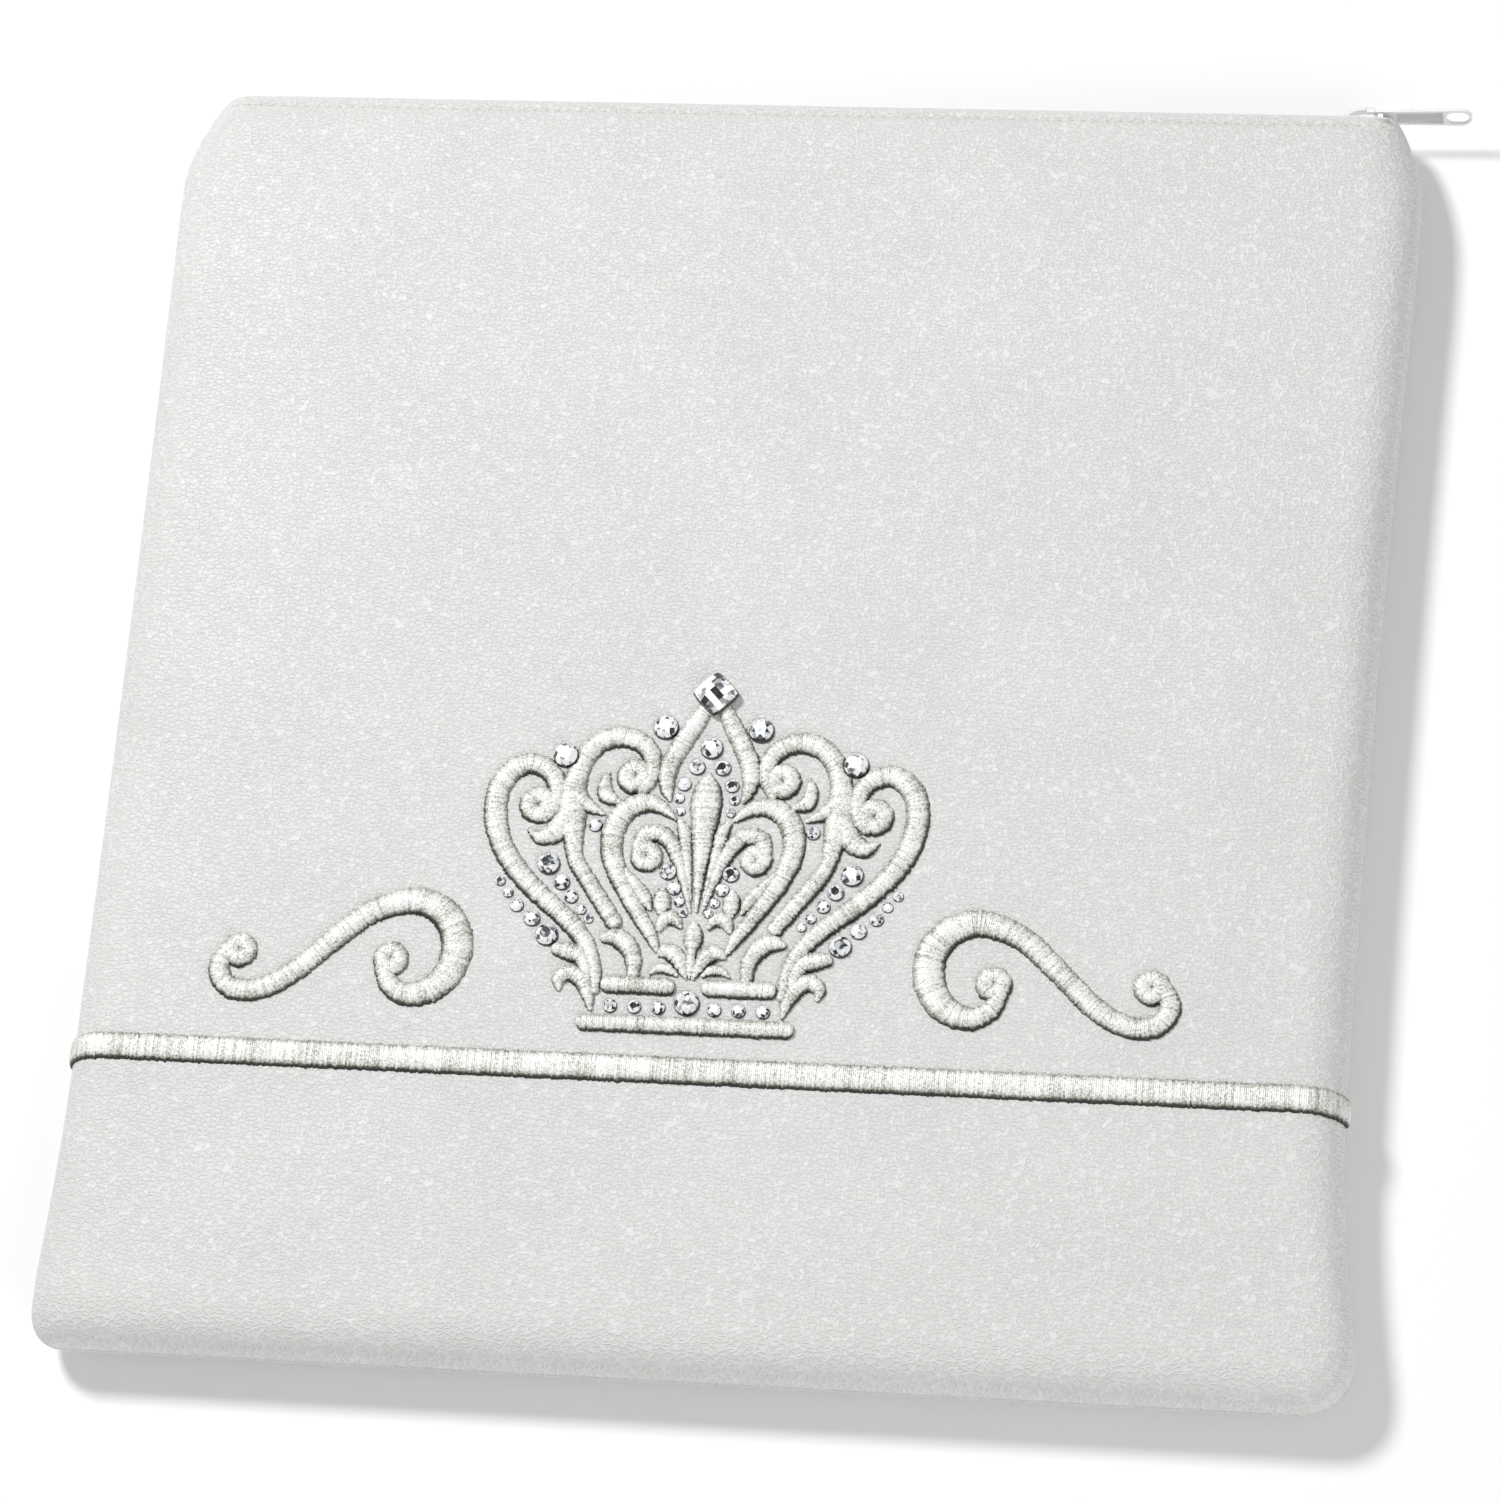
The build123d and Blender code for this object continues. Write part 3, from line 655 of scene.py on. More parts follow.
def lift_with_front(piece, shares=None):
    """Blends a piece between the back and the front body by the opening's share."""
    points = read_points(piece)
    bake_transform(piece, "back", "front", start=(0, -HALF_HEIGHT * MM, 0), end=(0, HALF_HEIGHT * MM, 0))
    values = opening_share(points[:, 0]) if shares is None else shares
    weights = piece.data.attributes["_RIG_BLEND"]
    weights.data.foreach_set("value", np.asarray(values, np.float32))


lift_with_front(front_panel)
print("opening share at the middle", float(opening_share((OPEN_LEFT + OPEN_RIGHT) / 2)))

# %% [markdown]
# The lining is a woven satin sewn in along the seams. It is a flat sheet drawn round the inside,
# so it is made as the same nested rings, a little smaller, and it stays thin. Along the mouth it
# stops short of the slider.

# %% Lining
def woven_material(name, dark, light, thread_mm, roughness):
    """A plain weave: two sets of threads cross, each a row of soft ridges, with painted shade in the hollows
    between them.
    """
    cloth, tree, surface = new_material(name, Roughness=roughness)
    place = add(tree, "ShaderNodeTexCoord").outputs["Object"]
    ridges = []
    for direction in ("X", "Y"):
        wave = add(
            tree,
            "ShaderNodeTexWave",
            {"Vector": place, "Scale": per_mm(thread_mm) / 20, "Distortion": 0.3},
            bands_direction=direction,
        )
        ridges.append(wave.outputs["Fac"])
    weave = add(tree, "ShaderNodeMath", {0: ridges[0], 1: ridges[1]}, operation="MULTIPLY")
    bump = add(
        tree, "ShaderNodeBump", {"Height": weave.outputs[0], "Strength": 0.4, "Distance": 0.0002}
    )
    tree.links.new(bump.outputs["Normal"], surface.inputs["Normal"])
    # painted shade: darker in the hollows of the weave, lighter on the threads' tops
    tint = ramp(tree, weave.outputs[0], [(0.0, dark), (1.0, light)])
    tree.links.new(tint, surface.inputs["Base Color"])
    return cloth


# a real satin has about 0.1 mm between threads; it is drawn at 0.8 mm so that it can be seen
DRAWN_WEAVE = 0.8
lining_satin = woven_material("woven satin lining", "DDDCD8", "EDECE8", DRAWN_WEAVE, 0.45)
LINING_IN = 5.0
LINING_BELOW = 4.7
SLIDER_CLEAR = math.radians(42)


def lining_sheet(name):
    """One side of the lining, its mouth edge folded back beyond the slider."""
    depth = DEPTH - LINING_BELOW
    points, faces = panel_grid(LINING_IN, depth)
    edge = (points[:, 1] > HALF_HEIGHT - 20) & (points[:, 2] < SEAM + SEAM_GAP + depth - 0.01)
    share = np.array([mouth_share(x, 14.0) for x in points[:, 0]]) * edge
    rise = np.clip((points[:, 2] - SEAM - SEAM_GAP) / depth, 0, 1)
    angle = np.arcsin(rise)
    angle += (SLIDER_CLEAR * (1 - angle / (math.pi / 2))) * share * 0.7
    points[:, 2] = np.where(edge, SEAM + SEAM_GAP + depth * np.sin(angle), points[:, 2])
    return mesh_object(name, points, faces, lining_satin)


front_lining = lining_sheet("front_lining_sheet")
back_lining = lining_sheet("back_lining_sheet")
write_points(back_lining, turned_over(read_points(back_lining)))
back_lining.data.flip_normals()
for sheet, node in ((front_lining, "front_lining"), (back_lining, "back_lining")):
    sheet.data.shade_smooth()
    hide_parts(node)
lift_with_front(front_lining)
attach(back_lining, "back")
print("lining sheets", len(front_lining.data.polygons), "faces each")

# %% [markdown]
# Satin stitch is close parallel thread laid across a padded stroke. Each stroke here sweeps a
# crowned section along a smooth line through given points, and the section rises and
# falls once per thread. The ends of the threads wander a little, so the edge is serrated. A
# real thread is about 0.4 mm; it is drawn at 0.55 mm so that it can still be seen.

# %% Satin stitch
STITCH_HEIGHT = 1.8
THREAD = 0.55
PER_THREAD = 4
ACROSS = 11
RIDGE = 0.13
RIDGE_SHAPE = np.array([0.0, 0.7, 1.0, 0.7])
SUNK = 0.35
END_WANDER = 0.13
SPREAD = 0.4                # threads reach this far past the foam they cover
CROWNING = 2.6              # the higher, the flatter the top of a stroke
FULL_HALF = 1.9             # a stroke whose half width is less than this is also lower
# down and to the right, where a raised stroke turns away from the light and its painted shade is deepest
SHADE_SIDE = (0.5, -0.85)


def smooth_line(points, spacing):
    """Samples a smooth curve through the points at even steps along its length."""
    points = np.array(points, float)
    knots = np.r_[0, np.cumsum(np.hypot(*np.diff(points[:, :2], axis=0).T) + 1e-6)]
    slopes = np.gradient(points, knots, axis=0) if len(points) > 2 else None
    samples = np.linspace(0, knots[-1], max(int(knots[-1] / spacing * 4), 8))
    if slopes is None:
        dense = np.array([np.interp(samples, knots, column) for column in points.T]).T
    else:
        index = np.clip(np.searchsorted(knots, samples, side="right") - 1, 0, len(knots) - 2)
        width = (knots[index + 1] - knots[index])[:, None]
        t = (samples - knots[index])[:, None] / width
        dense = (
            (2 * t**3 - 3 * t**2 + 1) * points[index]
            + (t**3 - 2 * t**2 + t) * width * slopes[index]
            + (3 * t**2 - 2 * t**3) * points[index + 1]
            + (t**3 - t**2) * width * slopes[index + 1]
        )
    length = np.r_[0, np.cumsum(np.hypot(*np.diff(dense[:, :2], axis=0).T))]
    steps = np.linspace(0, length[-1], max(int(length[-1] / spacing), 2))
    return np.array([np.interp(steps, length, column) for column in dense.T]).T


def across_share():
    """Places across a stroke, from -1 to 1, closer together at its edges."""
    share = np.linspace(-1, 1, ACROSS)
    return np.sign(share) * np.abs(share) ** 0.8


def painted_edge_shade(share, facing):
    """Painted shade at a stroke's edges, where the threads turn down; much deeper on the side away from the
    light.
    """
    return np.abs(share) ** 5 * (0.3 + 1.2 * np.maximum(facing, 0))


def stroke_rings(points, dice):
    """Plan places, heights, thread tones and painted edge shade of the rings of one stroke."""
    spacing = THREAD / PER_THREAD
    line = smooth_line(points, spacing)
    for end, beyond in ((0, 1), (-1, -2)):
        outward = line[end, :2] - line[beyond, :2]
        outward /= max(np.hypot(*outward), 1e-9)
        steps = np.arange(1, max(int(line[end, 2] / 2 / spacing), 2)) * spacing
        cap = line[end] + np.c_[outward[0] * steps, outward[1] * steps, 0 * steps]
        half = line[end, 2] / 2
        cap[:, 2] = 2 * np.sqrt(np.maximum(half**2 - steps**2, 0.01))
        line = np.r_[cap[::-1], line] if end == 0 else np.r_[line, cap]
    ahead = np.gradient(line[:, :2], axis=0)
    ahead /= np.maximum(np.hypot(ahead[:, 0], ahead[:, 1]), 1e-9)[:, None]
    aside = np.c_[-ahead[:, 1], ahead[:, 0]]
    thread = (np.arange(len(line)) + dice.integers(0, 4)) // PER_THREAD
    phase = (np.arange(len(line)) + 2) % PER_THREAD
    count = thread.max() + 1
    tone = dice.random(count)[thread]
    share = across_share()
    half = line[:, 2] / 2 + SPREAD * smooth_step(line[:, 2] / 3)
    left = half + dice.normal(0, END_WANDER, count)[thread]
    right = half + dice.normal(0, END_WANDER, count)[thread]
    reach = np.where(share[None, :] > 0, left[:, None], right[:, None])
    reach = np.maximum(reach, 0.08) * share[None, :]
    plan = line[:, None, :2] + aside[:, None, :] * reach[:, :, None]
    swell = np.minimum(1, half / FULL_HALF) ** 0.55 * STITCH_HEIGHT
    swell *= (1 + dice.normal(0, 0.02, count))[thread]
    crown = np.maximum(1 - np.abs(share) ** CROWNING, 0) ** 0.6
    ridge = RIDGE * RIDGE_SHAPE[phase]
    height = (swell - RIDGE)[:, None] * crown[None, :]
    height += ridge[:, None] * np.minimum(crown * 1.6, 1)
    height[:, 0] = height[:, -1] = -SUNK
    tones = np.repeat(tone[:, None], ACROSS, axis=1)
    # painted shade: the stroke's edges are darkened, far more on the side away from the key lamp
    facing = (aside @ SHADE_SIDE)[:, None] * share[None, :]
    edge = painted_edge_shade(share[None, :], facing)
    return plan, height, tones, edge


def ring_faces(rings, around, start):
    """Quads of a closed tube of rings, with both ends capped."""
    faces = []
    for ring in range(rings - 1):
        a = start + ring * around
        for j in range(around):
            k = (j + 1) % around
            faces.append((a + j, a + around + j, a + around + k, a + k))
    faces.append(tuple(start + j for j in range(around)))
    faces.append(tuple(start + (rings - 1) * around + j for j in reversed(range(around))))
    return faces


def face_outward(piece):
    make_active(piece)
    bpy.ops.object.mode_set(mode="EDIT")
    bpy.ops.mesh.select_all(action="SELECT")
    bpy.ops.mesh.normals_make_consistent(inside=False)
    bpy.ops.object.mode_set(mode="OBJECT")


def point_values(piece, name, values):
    attribute = piece.data.attributes.new(name, "FLOAT", "POINT")
    attribute.data.foreach_set("value", np.asarray(values, np.float32))


stitched = []


def stitch(node, strokes, side=1, settings_at=()):
    """Lays the strokes of one node on the leather; side is -1 for the mirrored half."""
    dice = np.random.default_rng(sum(map(ord, node)))
    points, faces, tones, edges = [], [], [], []
    for stroke in strokes:
        plan, height, tone, edge = stroke_rings(stroke, dice)
        for setting in settings_at:
            near = np.hypot(plan[..., 0] - setting[0], plan[..., 1] - setting[1]) - setting[2]
            height = np.where(near < 0, -SUNK, height * smooth_step(near / 0.5 + 0.3))
        faces += ring_faces(len(plan), ACROSS, sum(map(len, points)))
        x = CROWN_X + side * plan[..., 0].ravel()
        y = CROWN_Y + plan[..., 1].ravel()
        ground = np.array([surface_z(u, v) for u, v in zip(x, y)])
        points.append(np.c_[x, y, ground + height.ravel()])
        tones.append(tone.ravel())
        edges.append(edge.ravel())
    piece = mesh_object(node + "_stitches", np.concatenate(points), faces, metallic_thread)
    point_values(piece, "tone", np.concatenate(tones))
    # edge carries each stroke's painted shade to the thread's colour
    point_values(piece, "edge", np.concatenate(edges))
    face_outward(piece)
    piece.data.shade_smooth()
    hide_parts(node)
    lift_with_front(piece)
    stitched.append(piece)
    return piece


# %% [markdown]
# The thread is silver-white rayon with a metallic strip. Its shine runs along each thread, so
# neighbouring threads look lighter or darker: every thread has its own tone, painted sheen. The
# colour also carries painted glints, a slow drift of painted sheen, and painted shade that darkens
# the threads where they turn down into the leather, most on the side away from the key lamp.

# %% Thread
def thread_material():
    thread, tree, surface = new_material("silver-white embroidery thread", Roughness=0.42)
    tone = add(tree, "ShaderNodeAttribute", attribute_name="tone").outputs["Fac"]
    # edge is the strokes' painted shade
    edge = add(tree, "ShaderNodeAttribute", attribute_name="edge").outputs["Fac"]
    place = add(tree, "ShaderNodeTexCoord").outputs["Object"]
    # painted glints of the strip, grains about 0.6 mm; a slower drift of painted sheen, about 7 mm
    painted_thread_glints = add(
        tree, "ShaderNodeTexNoise", {"Vector": place, "Scale": per_mm(0.6), "Detail": 1.0}
    )
    painted_sheen_drift = add(tree, "ShaderNodeTexNoise", {"Vector": place, "Scale": per_mm(7.0), "Detail": 2.0})
    value = painted_sheen_drift.outputs["Fac"]
    value = add(tree, "ShaderNodeMath", {0: value, 1: 0.5}, operation="MULTIPLY").outputs[0]
    # painted glints, painted sheen per thread and painted shade at the edges all go into the base colour
    for part, share in ((painted_thread_glints.outputs["Fac"], 1.1), (tone, 0.26), (edge, -1.6)):
        mixed = add(tree, "ShaderNodeMath", {0: part, 1: share, 2: value}, operation="MULTIPLY_ADD")
        value = mixed.outputs[0]
    stops = [
        (0.0, "2A2C25"),
        (0.3, "5A5C52"),
        (0.62, "A3A59A"),
        (0.82, "CFD1C9"),
        (0.97, "E6E8E4"),
        (1.0, "F0F2F0"),
    ]
    tree.links.new(ramp(tree, value, stops), surface.inputs["Base Color"])
    surface.inputs["Metallic"].default_value = 0.12
    surface.inputs["Specular IOR Level"].default_value = 0.6
    return thread


metallic_thread = thread_material()
print("thread ready")

# %% [markdown]
# The motif's strokes, in millimetres from the crown's axis and foot: across, up, width. They are
# listed point by point, as an embroiderer digitises them, and mirrored for the left half.

# %% Strokes of the crown
def disc(u, v, radius):
    """A round terminal: a stroke that turns once round its own inner edge, like a snail."""
    turns = [math.radians(angle) for angle in range(200, 560, 40)]
    out = 0.56 * radius
    return [(u + out * math.cos(a), v + out * math.sin(a), 2 * out) for a in turns]


def oval(u, v, half_u, half_v):
    """A petal along the axis: one straight stroke that widens and narrows again."""
    shares = (-0.9, -0.6, -0.2, 0.2, 0.6, 0.9)
    return [(u, v + s * half_v, 2 * half_u * math.sqrt(1 - s * s)) for s in shares]


outer_scroll = [
    [
        (43.3, 58.8, 2.2),
        (41.3, 62.0, 3.6),
        (40.8, 67.0, 4.4),
        (42.3, 71.0, 5.2),
        (45.5, 73.6, 5.6),
        (49.5, 74.3, 5.6),
        (53.5, 72.3, 5.8),
        (56.3, 68.3, 5.9),
        (57.2, 62.8, 6.0),
        (56.5, 57.0, 6.0),
        (54.0, 50.4, 5.8),
        (50.0, 44.6, 5.6),
        (44.5, 38.9, 5.4),
        (38.5, 33.9, 5.2),
        (33.0, 29.1, 5.0),
        (28.7, 23.9, 4.4),
        (26.0, 18.4, 3.4),
        (25.0, 11.0, 2.0),
    ],
    disc(45.5, 62.5, 4.6),
]
inner_scroll = [
    [
        (17.8, 67.4, 2.2),
        (15.9, 70.9, 3.4),
        (15.5, 74.9, 4.2),
        (16.8, 78.9, 5.0),
        (20.3, 81.8, 5.4),
        (25.0, 82.8, 5.5),
        (30.0, 81.4, 5.6),
        (33.8, 77.4, 5.6),
        (35.8, 71.9, 5.8),
        (36.6, 66.4, 7.5),
        (36.2, 60.4, 8.0),
        (35.2, 54.4, 5.6),
        (33.3, 50.4, 1.6),
    ],
    disc(20, 71.7, 4.4),
    [(35.0, 65.4, 5.0), (31.5, 62.6, 3.2), (27.3, 60.6, 0.8)],
    [(37.5, 59.9, 5.5), (40.3, 55.1, 6.0), (44.0, 53.4, 4.0), (47.5, 55.4, 0.8)],
    [
        (35.6, 53.5, 4.0),
        (33.8, 47.4, 4.2),
        (30.2, 41.9, 4.3),
        (26.0, 36.1, 4.3),
        (21.8, 30.4, 4.2),
    ],
]
heart = [
    [
        (7.8, 59.9, 1.0),
        (11.5, 62.8, 3.2),
        (16.0, 64.3, 5.0),
        (20.8, 62.6, 5.8),
        (24.0, 57.9, 6.0),
        (24.6, 51.9, 5.8),
        (22.6, 44.9, 5.2),
        (19.0, 38.4, 4.6),
        (14.8, 31.9, 4.0),
        (11.2, 26.4, 3.0),
        (9.3, 22.6, 1.2),
    ],
    [(20.8, 45.9, 1.0), (17.8, 41.9, 2.8), (14.3, 37.4, 3.6), (12.3, 34.1, 1.0)],
]
peak = [
    [
        (2.8, 91.4, 3.6),
        (5.3, 86.9, 4.8),
        (8.3, 81.4, 5.0),
        (10.8, 75.9, 4.9),
        (11.5, 71.0, 4.2),
        (10.6, 67.0, 2.4),
        (10.0, 65.3, 1.0),
    ],
]
centre_petal = [
    [
        (0, 73.0, 1.0),
        (0, 70.5, 5.4),
        (0, 66.0, 8.4),
        (0, 59.0, 7.0),
        (0, 47.0, 3.4),
        (0, 34.0, 0.8),
    ],
]
side_petal = [
    [
        (17.3, 51.8, 3.0),
        (15.5, 55.2, 4.8),
        (12.0, 55.7, 4.6),
        (8.8, 53.4, 4.2),
        (6.6, 49.6, 3.6),
        (4.8, 44.9, 2.8),
        (3.2, 39.9, 2.0),
        (1.7, 33.9, 0.8),
    ],
    disc(14.8, 49.1, 3.8),
    [
        (6.6, 59.2, 1.6),
        (5.5, 57.2, 3.0),
        (4.5, 52.4, 2.8),
        (3.2, 45.4, 1.8),
        (1.8, 37.4, 0.8),
    ],
]
leaves = [
    oval(9.4, 36.6, 2.3, 3.4),
    [(9.6, 28.8, 1.4), (8.3, 31.4, 3.4), (6.0, 32.1, 3.8), (3.8, 29.8, 1.4)],
    [
        (9.0, 21.4, 1.0),
        (7.3, 22.6, 3.8),
        (4.5, 21.8, 4.6),
        (2.4, 18.6, 3.0),
        (0.9, 15.2, 0.8),
    ],
    [(10.8, 16.2, 0.8), (8.5, 17.8, 2.2), (5.6, 17.6, 2.4), (3.4, 16.2, 1.0)],
]
crescents = [
    [(27.2, 72.8, 0.8), (28.0, 69.4, 3.0), (27.2, 65.9, 4.2), (23.8, 64.3, 1.6)],
    [
        (24.3, 25.6, 2.0),
        (21.0, 26.1, 4.8),
        (17.5, 23.9, 5.0),
        (15.5, 19.9, 4.0),
        (15.2, 15.8, 3.0),
    ],
]
acanthus = [
    [
        (36.3, 22.1, 3.2),
        (33.5, 21.6, 4.8),
        (30.3, 20.6, 4.6),
        (28.0, 16.9, 3.4),
        (27.4, 13.4, 1.6),
    ],
    [
        (34.6, 10.8, 1.0),
        (35.0, 13.6, 3.2),
        (32.5, 15.6, 4.4),
        (29.3, 14.2, 4.4),
        (27.0, 10.4, 3.4),
        (25.6, 5.4, 0.8),
    ],
]
side_scroll = [
    [
        (123.5, 20.6, 3.2),
        (126.4, 17.0, 4.6),
        (127.6, 12.3, 5.4),
        (124.8, 8.1, 5.6),
        (119.6, 6.9, 5.6),
        (113.7, 8.5, 5.6),
        (107.5, 12.4, 5.6),
        (101.2, 18.3, 5.6),
        (94.5, 24.7, 5.8),
        (87.7, 30.3, 6.2),
        (81.0, 33.2, 6.8),
        (74.2, 33.9, 7.4),
        (68.0, 31.0, 8.0),
        (64.1, 25.4, 8.3),
        (63.6, 18.7, 8.3),
        (66.0, 12.8, 7.8),
        (70.4, 8.9, 7.0),
        (75.5, 7.7, 6.2),
        (80.4, 10.0, 5.2),
        (82.8, 14.2, 4.0),
    ],
    disc(122.5, 18.2, 4.2),
    disc(81, 17.4, 4.2),
]
base_bar = [[(-27.0, 2.2, 4.4), (27.0, 2.2, 4.4)]]
rim_bar = [[(5.8, 12.9, 4.5), (21.4, 12.9, 4.5)]]
bud = [oval(0, 26.8, 2.4, 3.9), [(0, 23.0, 2.0), (0, 19.5, 2.4), (0, 15.4, 0.8)]]

# %% [markdown]
# The round stones come in six standard diameters. Each size lists its diameter, then how far
# across and up each stone sits. Those off the axis come in pairs. Strokes are pressed down
# round each stone, so that it is set in and doesn't sit on thread.

# %% Places of the stones
stone_places = {
    "large": (7.2, [(0, 8.5), (39.5, 77), (13, 86)]),
    "medium": (6.4, [(0, 80.5), (41, 46), (39.5, 26)]),
    "small": (4.7, [(3.5, 75), (37, 41), (44, 30.5), (8.5, 45)]),
    "fine": (
        4.0,
        [(6.5, 70), (29.5, 57.5), (34, 37), (48.5, 34), (6.5, 40.5), (7.5, 7), (14, 7), (20.5, 7)],
    ),
    "tiny": (3.1, [(7.5, 66), (31, 33.5), (51.2, 37.5), (53.7, 40.7), (4.8, 36.8)]),
    "seed": (2.8, [(6.8, 62.3), (28.7, 31), (3.4, 33.7)]),
}
SETTING_GAP = 0.1
settings_at = [
    (u, v, diameter / 2 + SETTING_GAP)
    for diameter, places in stone_places.values()
    for u, v in places
]
print(len(settings_at), "settings on the right half and the axis")

# %% [markdown]
# Now the strokes become pieces, one for each construction node that they stand for. The left
# half is stitched from the same strokes, mirrored, with its own run of uneven threads.

# %% Stitch the motif
pairs = {
    "crown_outer_scroll": outer_scroll,
    "crown_inner_scroll": inner_scroll,
    "crown_heart": heart,
    "crown_peak": peak,
    "crown_side_petal": side_petal,
    "crown_crescents": crescents,
    "crown_leaves": leaves,
    "crown_rim_bar": rim_bar,
    "crown_acanthus": acanthus,
    "side_scroll": side_scroll,
}
for name, strokes in pairs.items():
    stitch(f"{name}_right", strokes, 1, settings_at)
    stitch(f"{name}_left", strokes, -1, settings_at)
stitch("crown_centre_petal", centre_petal, 1, settings_at)
stitch("crown_bud", bud)
stitch("crown_base_bar", base_bar)
faces = sum(len(piece.data.polygons) for piece in stitched)
print(len(stitched), "stitched pieces,", faces, "faces")

# %% [markdown]
# The satin band crosses the whole front and wraps round both edges to the seam. Its rings follow
# the leather there: each ring starts from a point of the panel's outline curve and is dropped
# along the curve's normal until it meets the leather.

# %% Satin band
BAND_HALF = (band_high[1] - band_low[1]) / 2
BAND_HEIGHT = 1.2


def band_line():
    """Points and outward directions across the front at the band's height, seam to seam."""
    face_left, _ = rim_point(-1, BAND_Y / HALF_HEIGHT)
    face_right, _ = rim_point(1, BAND_Y / HALF_HEIGHT)
    angles = np.radians(np.arange(4, 90, 0.5))
    inset = ROLL * (1 - np.cos(angles))
    rise = DEPTH * np.sin(angles)
    left = np.c_[face_left + inset, rise, math.pi - angles]
    right = np.c_[face_right - inset, rise, angles]
    across_face = np.linspace(face_left + ROLL, face_right - ROLL, 900)
    level = np.full_like(across_face, DEPTH)
    flat = np.c_[across_face, level, np.full_like(across_face, math.pi / 2)]
    path = np.concatenate((left, flat, right[::-1]))
    length = np.r_[0, np.cumsum(np.hypot(*np.diff(path[:, :2], axis=0).T))]
    steps = np.arange(0, length[-1], THREAD / PER_THREAD)
    return np.array([np.interp(steps, length, column) for column in path.T]).T


def satin_band():
    """The band as one long tube of rings that hugs the leather, seam to seam."""
    dice = np.random.default_rng(21)
    line = band_line()
    thread = np.arange(len(line)) // PER_THREAD
    count = thread.max() + 1
    tone = dice.random(count)[thread]
    reach = BAND_HALF + dice.normal(0, END_WANDER, (2, count))[:, thread]
    share = across_share()
    crown = np.sqrt(np.maximum(1 - np.abs(share) ** CROWNING, 0))
    ridge = RIDGE * RIDGE_SHAPE[(np.arange(len(line)) + 2) % PER_THREAD]
    points = []
    for ring, (x, z, angle) in enumerate(line):
        outward = Vector((math.cos(angle), 0, math.sin(angle)))
        for s, c in zip(share, crown):
            y = BAND_Y + s * (reach[0, ring] if s < 0 else reach[1, ring])
            start = Vector((x, y, SEAM + SEAM_GAP + z)) + outward * 4
            hit = skin.ray_cast(start * MM, -outward, 0.008)[0]
            ground = hit / MM if hit is not None else start - outward * 4
            lift = (BAND_HEIGHT - RIDGE) * c + ridge[ring] * min(c * 1.6, 1)
            if abs(s) == 1:
                lift = -SUNK
            points.append(ground + outward * lift)
    faces = ring_faces(len(line), ACROSS, 0)
    piece = mesh_object("satin_band_stitches", points, faces, metallic_thread)
    point_values(piece, "tone", np.repeat(tone, ACROSS))
    # painted shade: the band's lower edge is darkened, its upper edge only a little
    point_values(piece, "edge", np.tile(painted_edge_shade(share, -share), len(line)))
    face_outward(piece)
    piece.data.shade_smooth()
    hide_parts("satin_band")
    lift_with_front(piece)
    return piece


print("band", len(satin_band().data.polygons), "faces")

# %% [markdown]
# The stones are flat-back crystals: a short girdle, a crown of facets in two rows, and a flat
# table, with foil behind. A facet seen from above shows one patch of the room, so each facet
# gets its own tone of painted reflection, from white to nearly black, with painted glints over
# it, painted shade on the girdle and a weak painted glow; all of them are flat and glossy. Its
# rows of facets are staggered and differ in number, so a short list of points says it more
# simply than a string of operators would.

# %% Crystal
TABLE_LEVEL = 0.40
MIDDLE_LEVEL = 0.29
GIRDLE_LEVEL = 0.15
# the girdle is painted dark: painted shade round each stone's rim
GIRDLE_PAINTED_SHADE = -0.4


def crystal_material():
    crystal, tree, surface = new_material("foiled crystal", Roughness=0.06, IOR=1.6)
    facet = add(tree, "ShaderNodeAttribute", attribute_name="facet").outputs["Fac"]
    place = add(tree, "ShaderNodeTexCoord").outputs["Object"]
    # painted glints: small patches across the facets made lighter or darker
    painted_stone_glints = add(
        tree,
        "ShaderNodeTexVoronoi",
        {"Vector": place, "Scale": per_mm(1.1), "Randomness": 1.0},
        feature="F1",
    )
    split = add(
        tree,
        "ShaderNodeMath",
        {0: painted_stone_glints.outputs["Color"], 1: 0.4, 2: facet},
        operation="MULTIPLY_ADD",
    )
    stops = [
        (0.0, "1E2023"),
        (0.2, "4A4D52"),
        (0.32, "A4A7AB"),
        (0.42, "EDEFF1"),
        (0.85, "FBFBFA"),
        (0.92, "D3D9EC"),
        (0.97, "FFFFFF"),
    ]
    shown = ramp(tree, split.outputs[0], stops)
    tree.links.new(shown, surface.inputs["Base Color"])
    # painted glow: the painted facet tones are also emitted weakly, though the stones are no lamp
    tree.links.new(shown, surface.inputs["Emission Color"])
    surface.inputs["Emission Strength"].default_value = 0.14
    surface.inputs["Coat Weight"].default_value = 0.4
    surface.inputs["Coat Roughness"].default_value = 0.03
    return crystal


foiled_crystal = crystal_material()


def circle_of(count, radius, height, turn=0.0):
    angles = [2 * math.pi * (k + turn) / count for k in range(count)]
    return [(radius * math.cos(a), radius * math.sin(a), height) for a in angles]


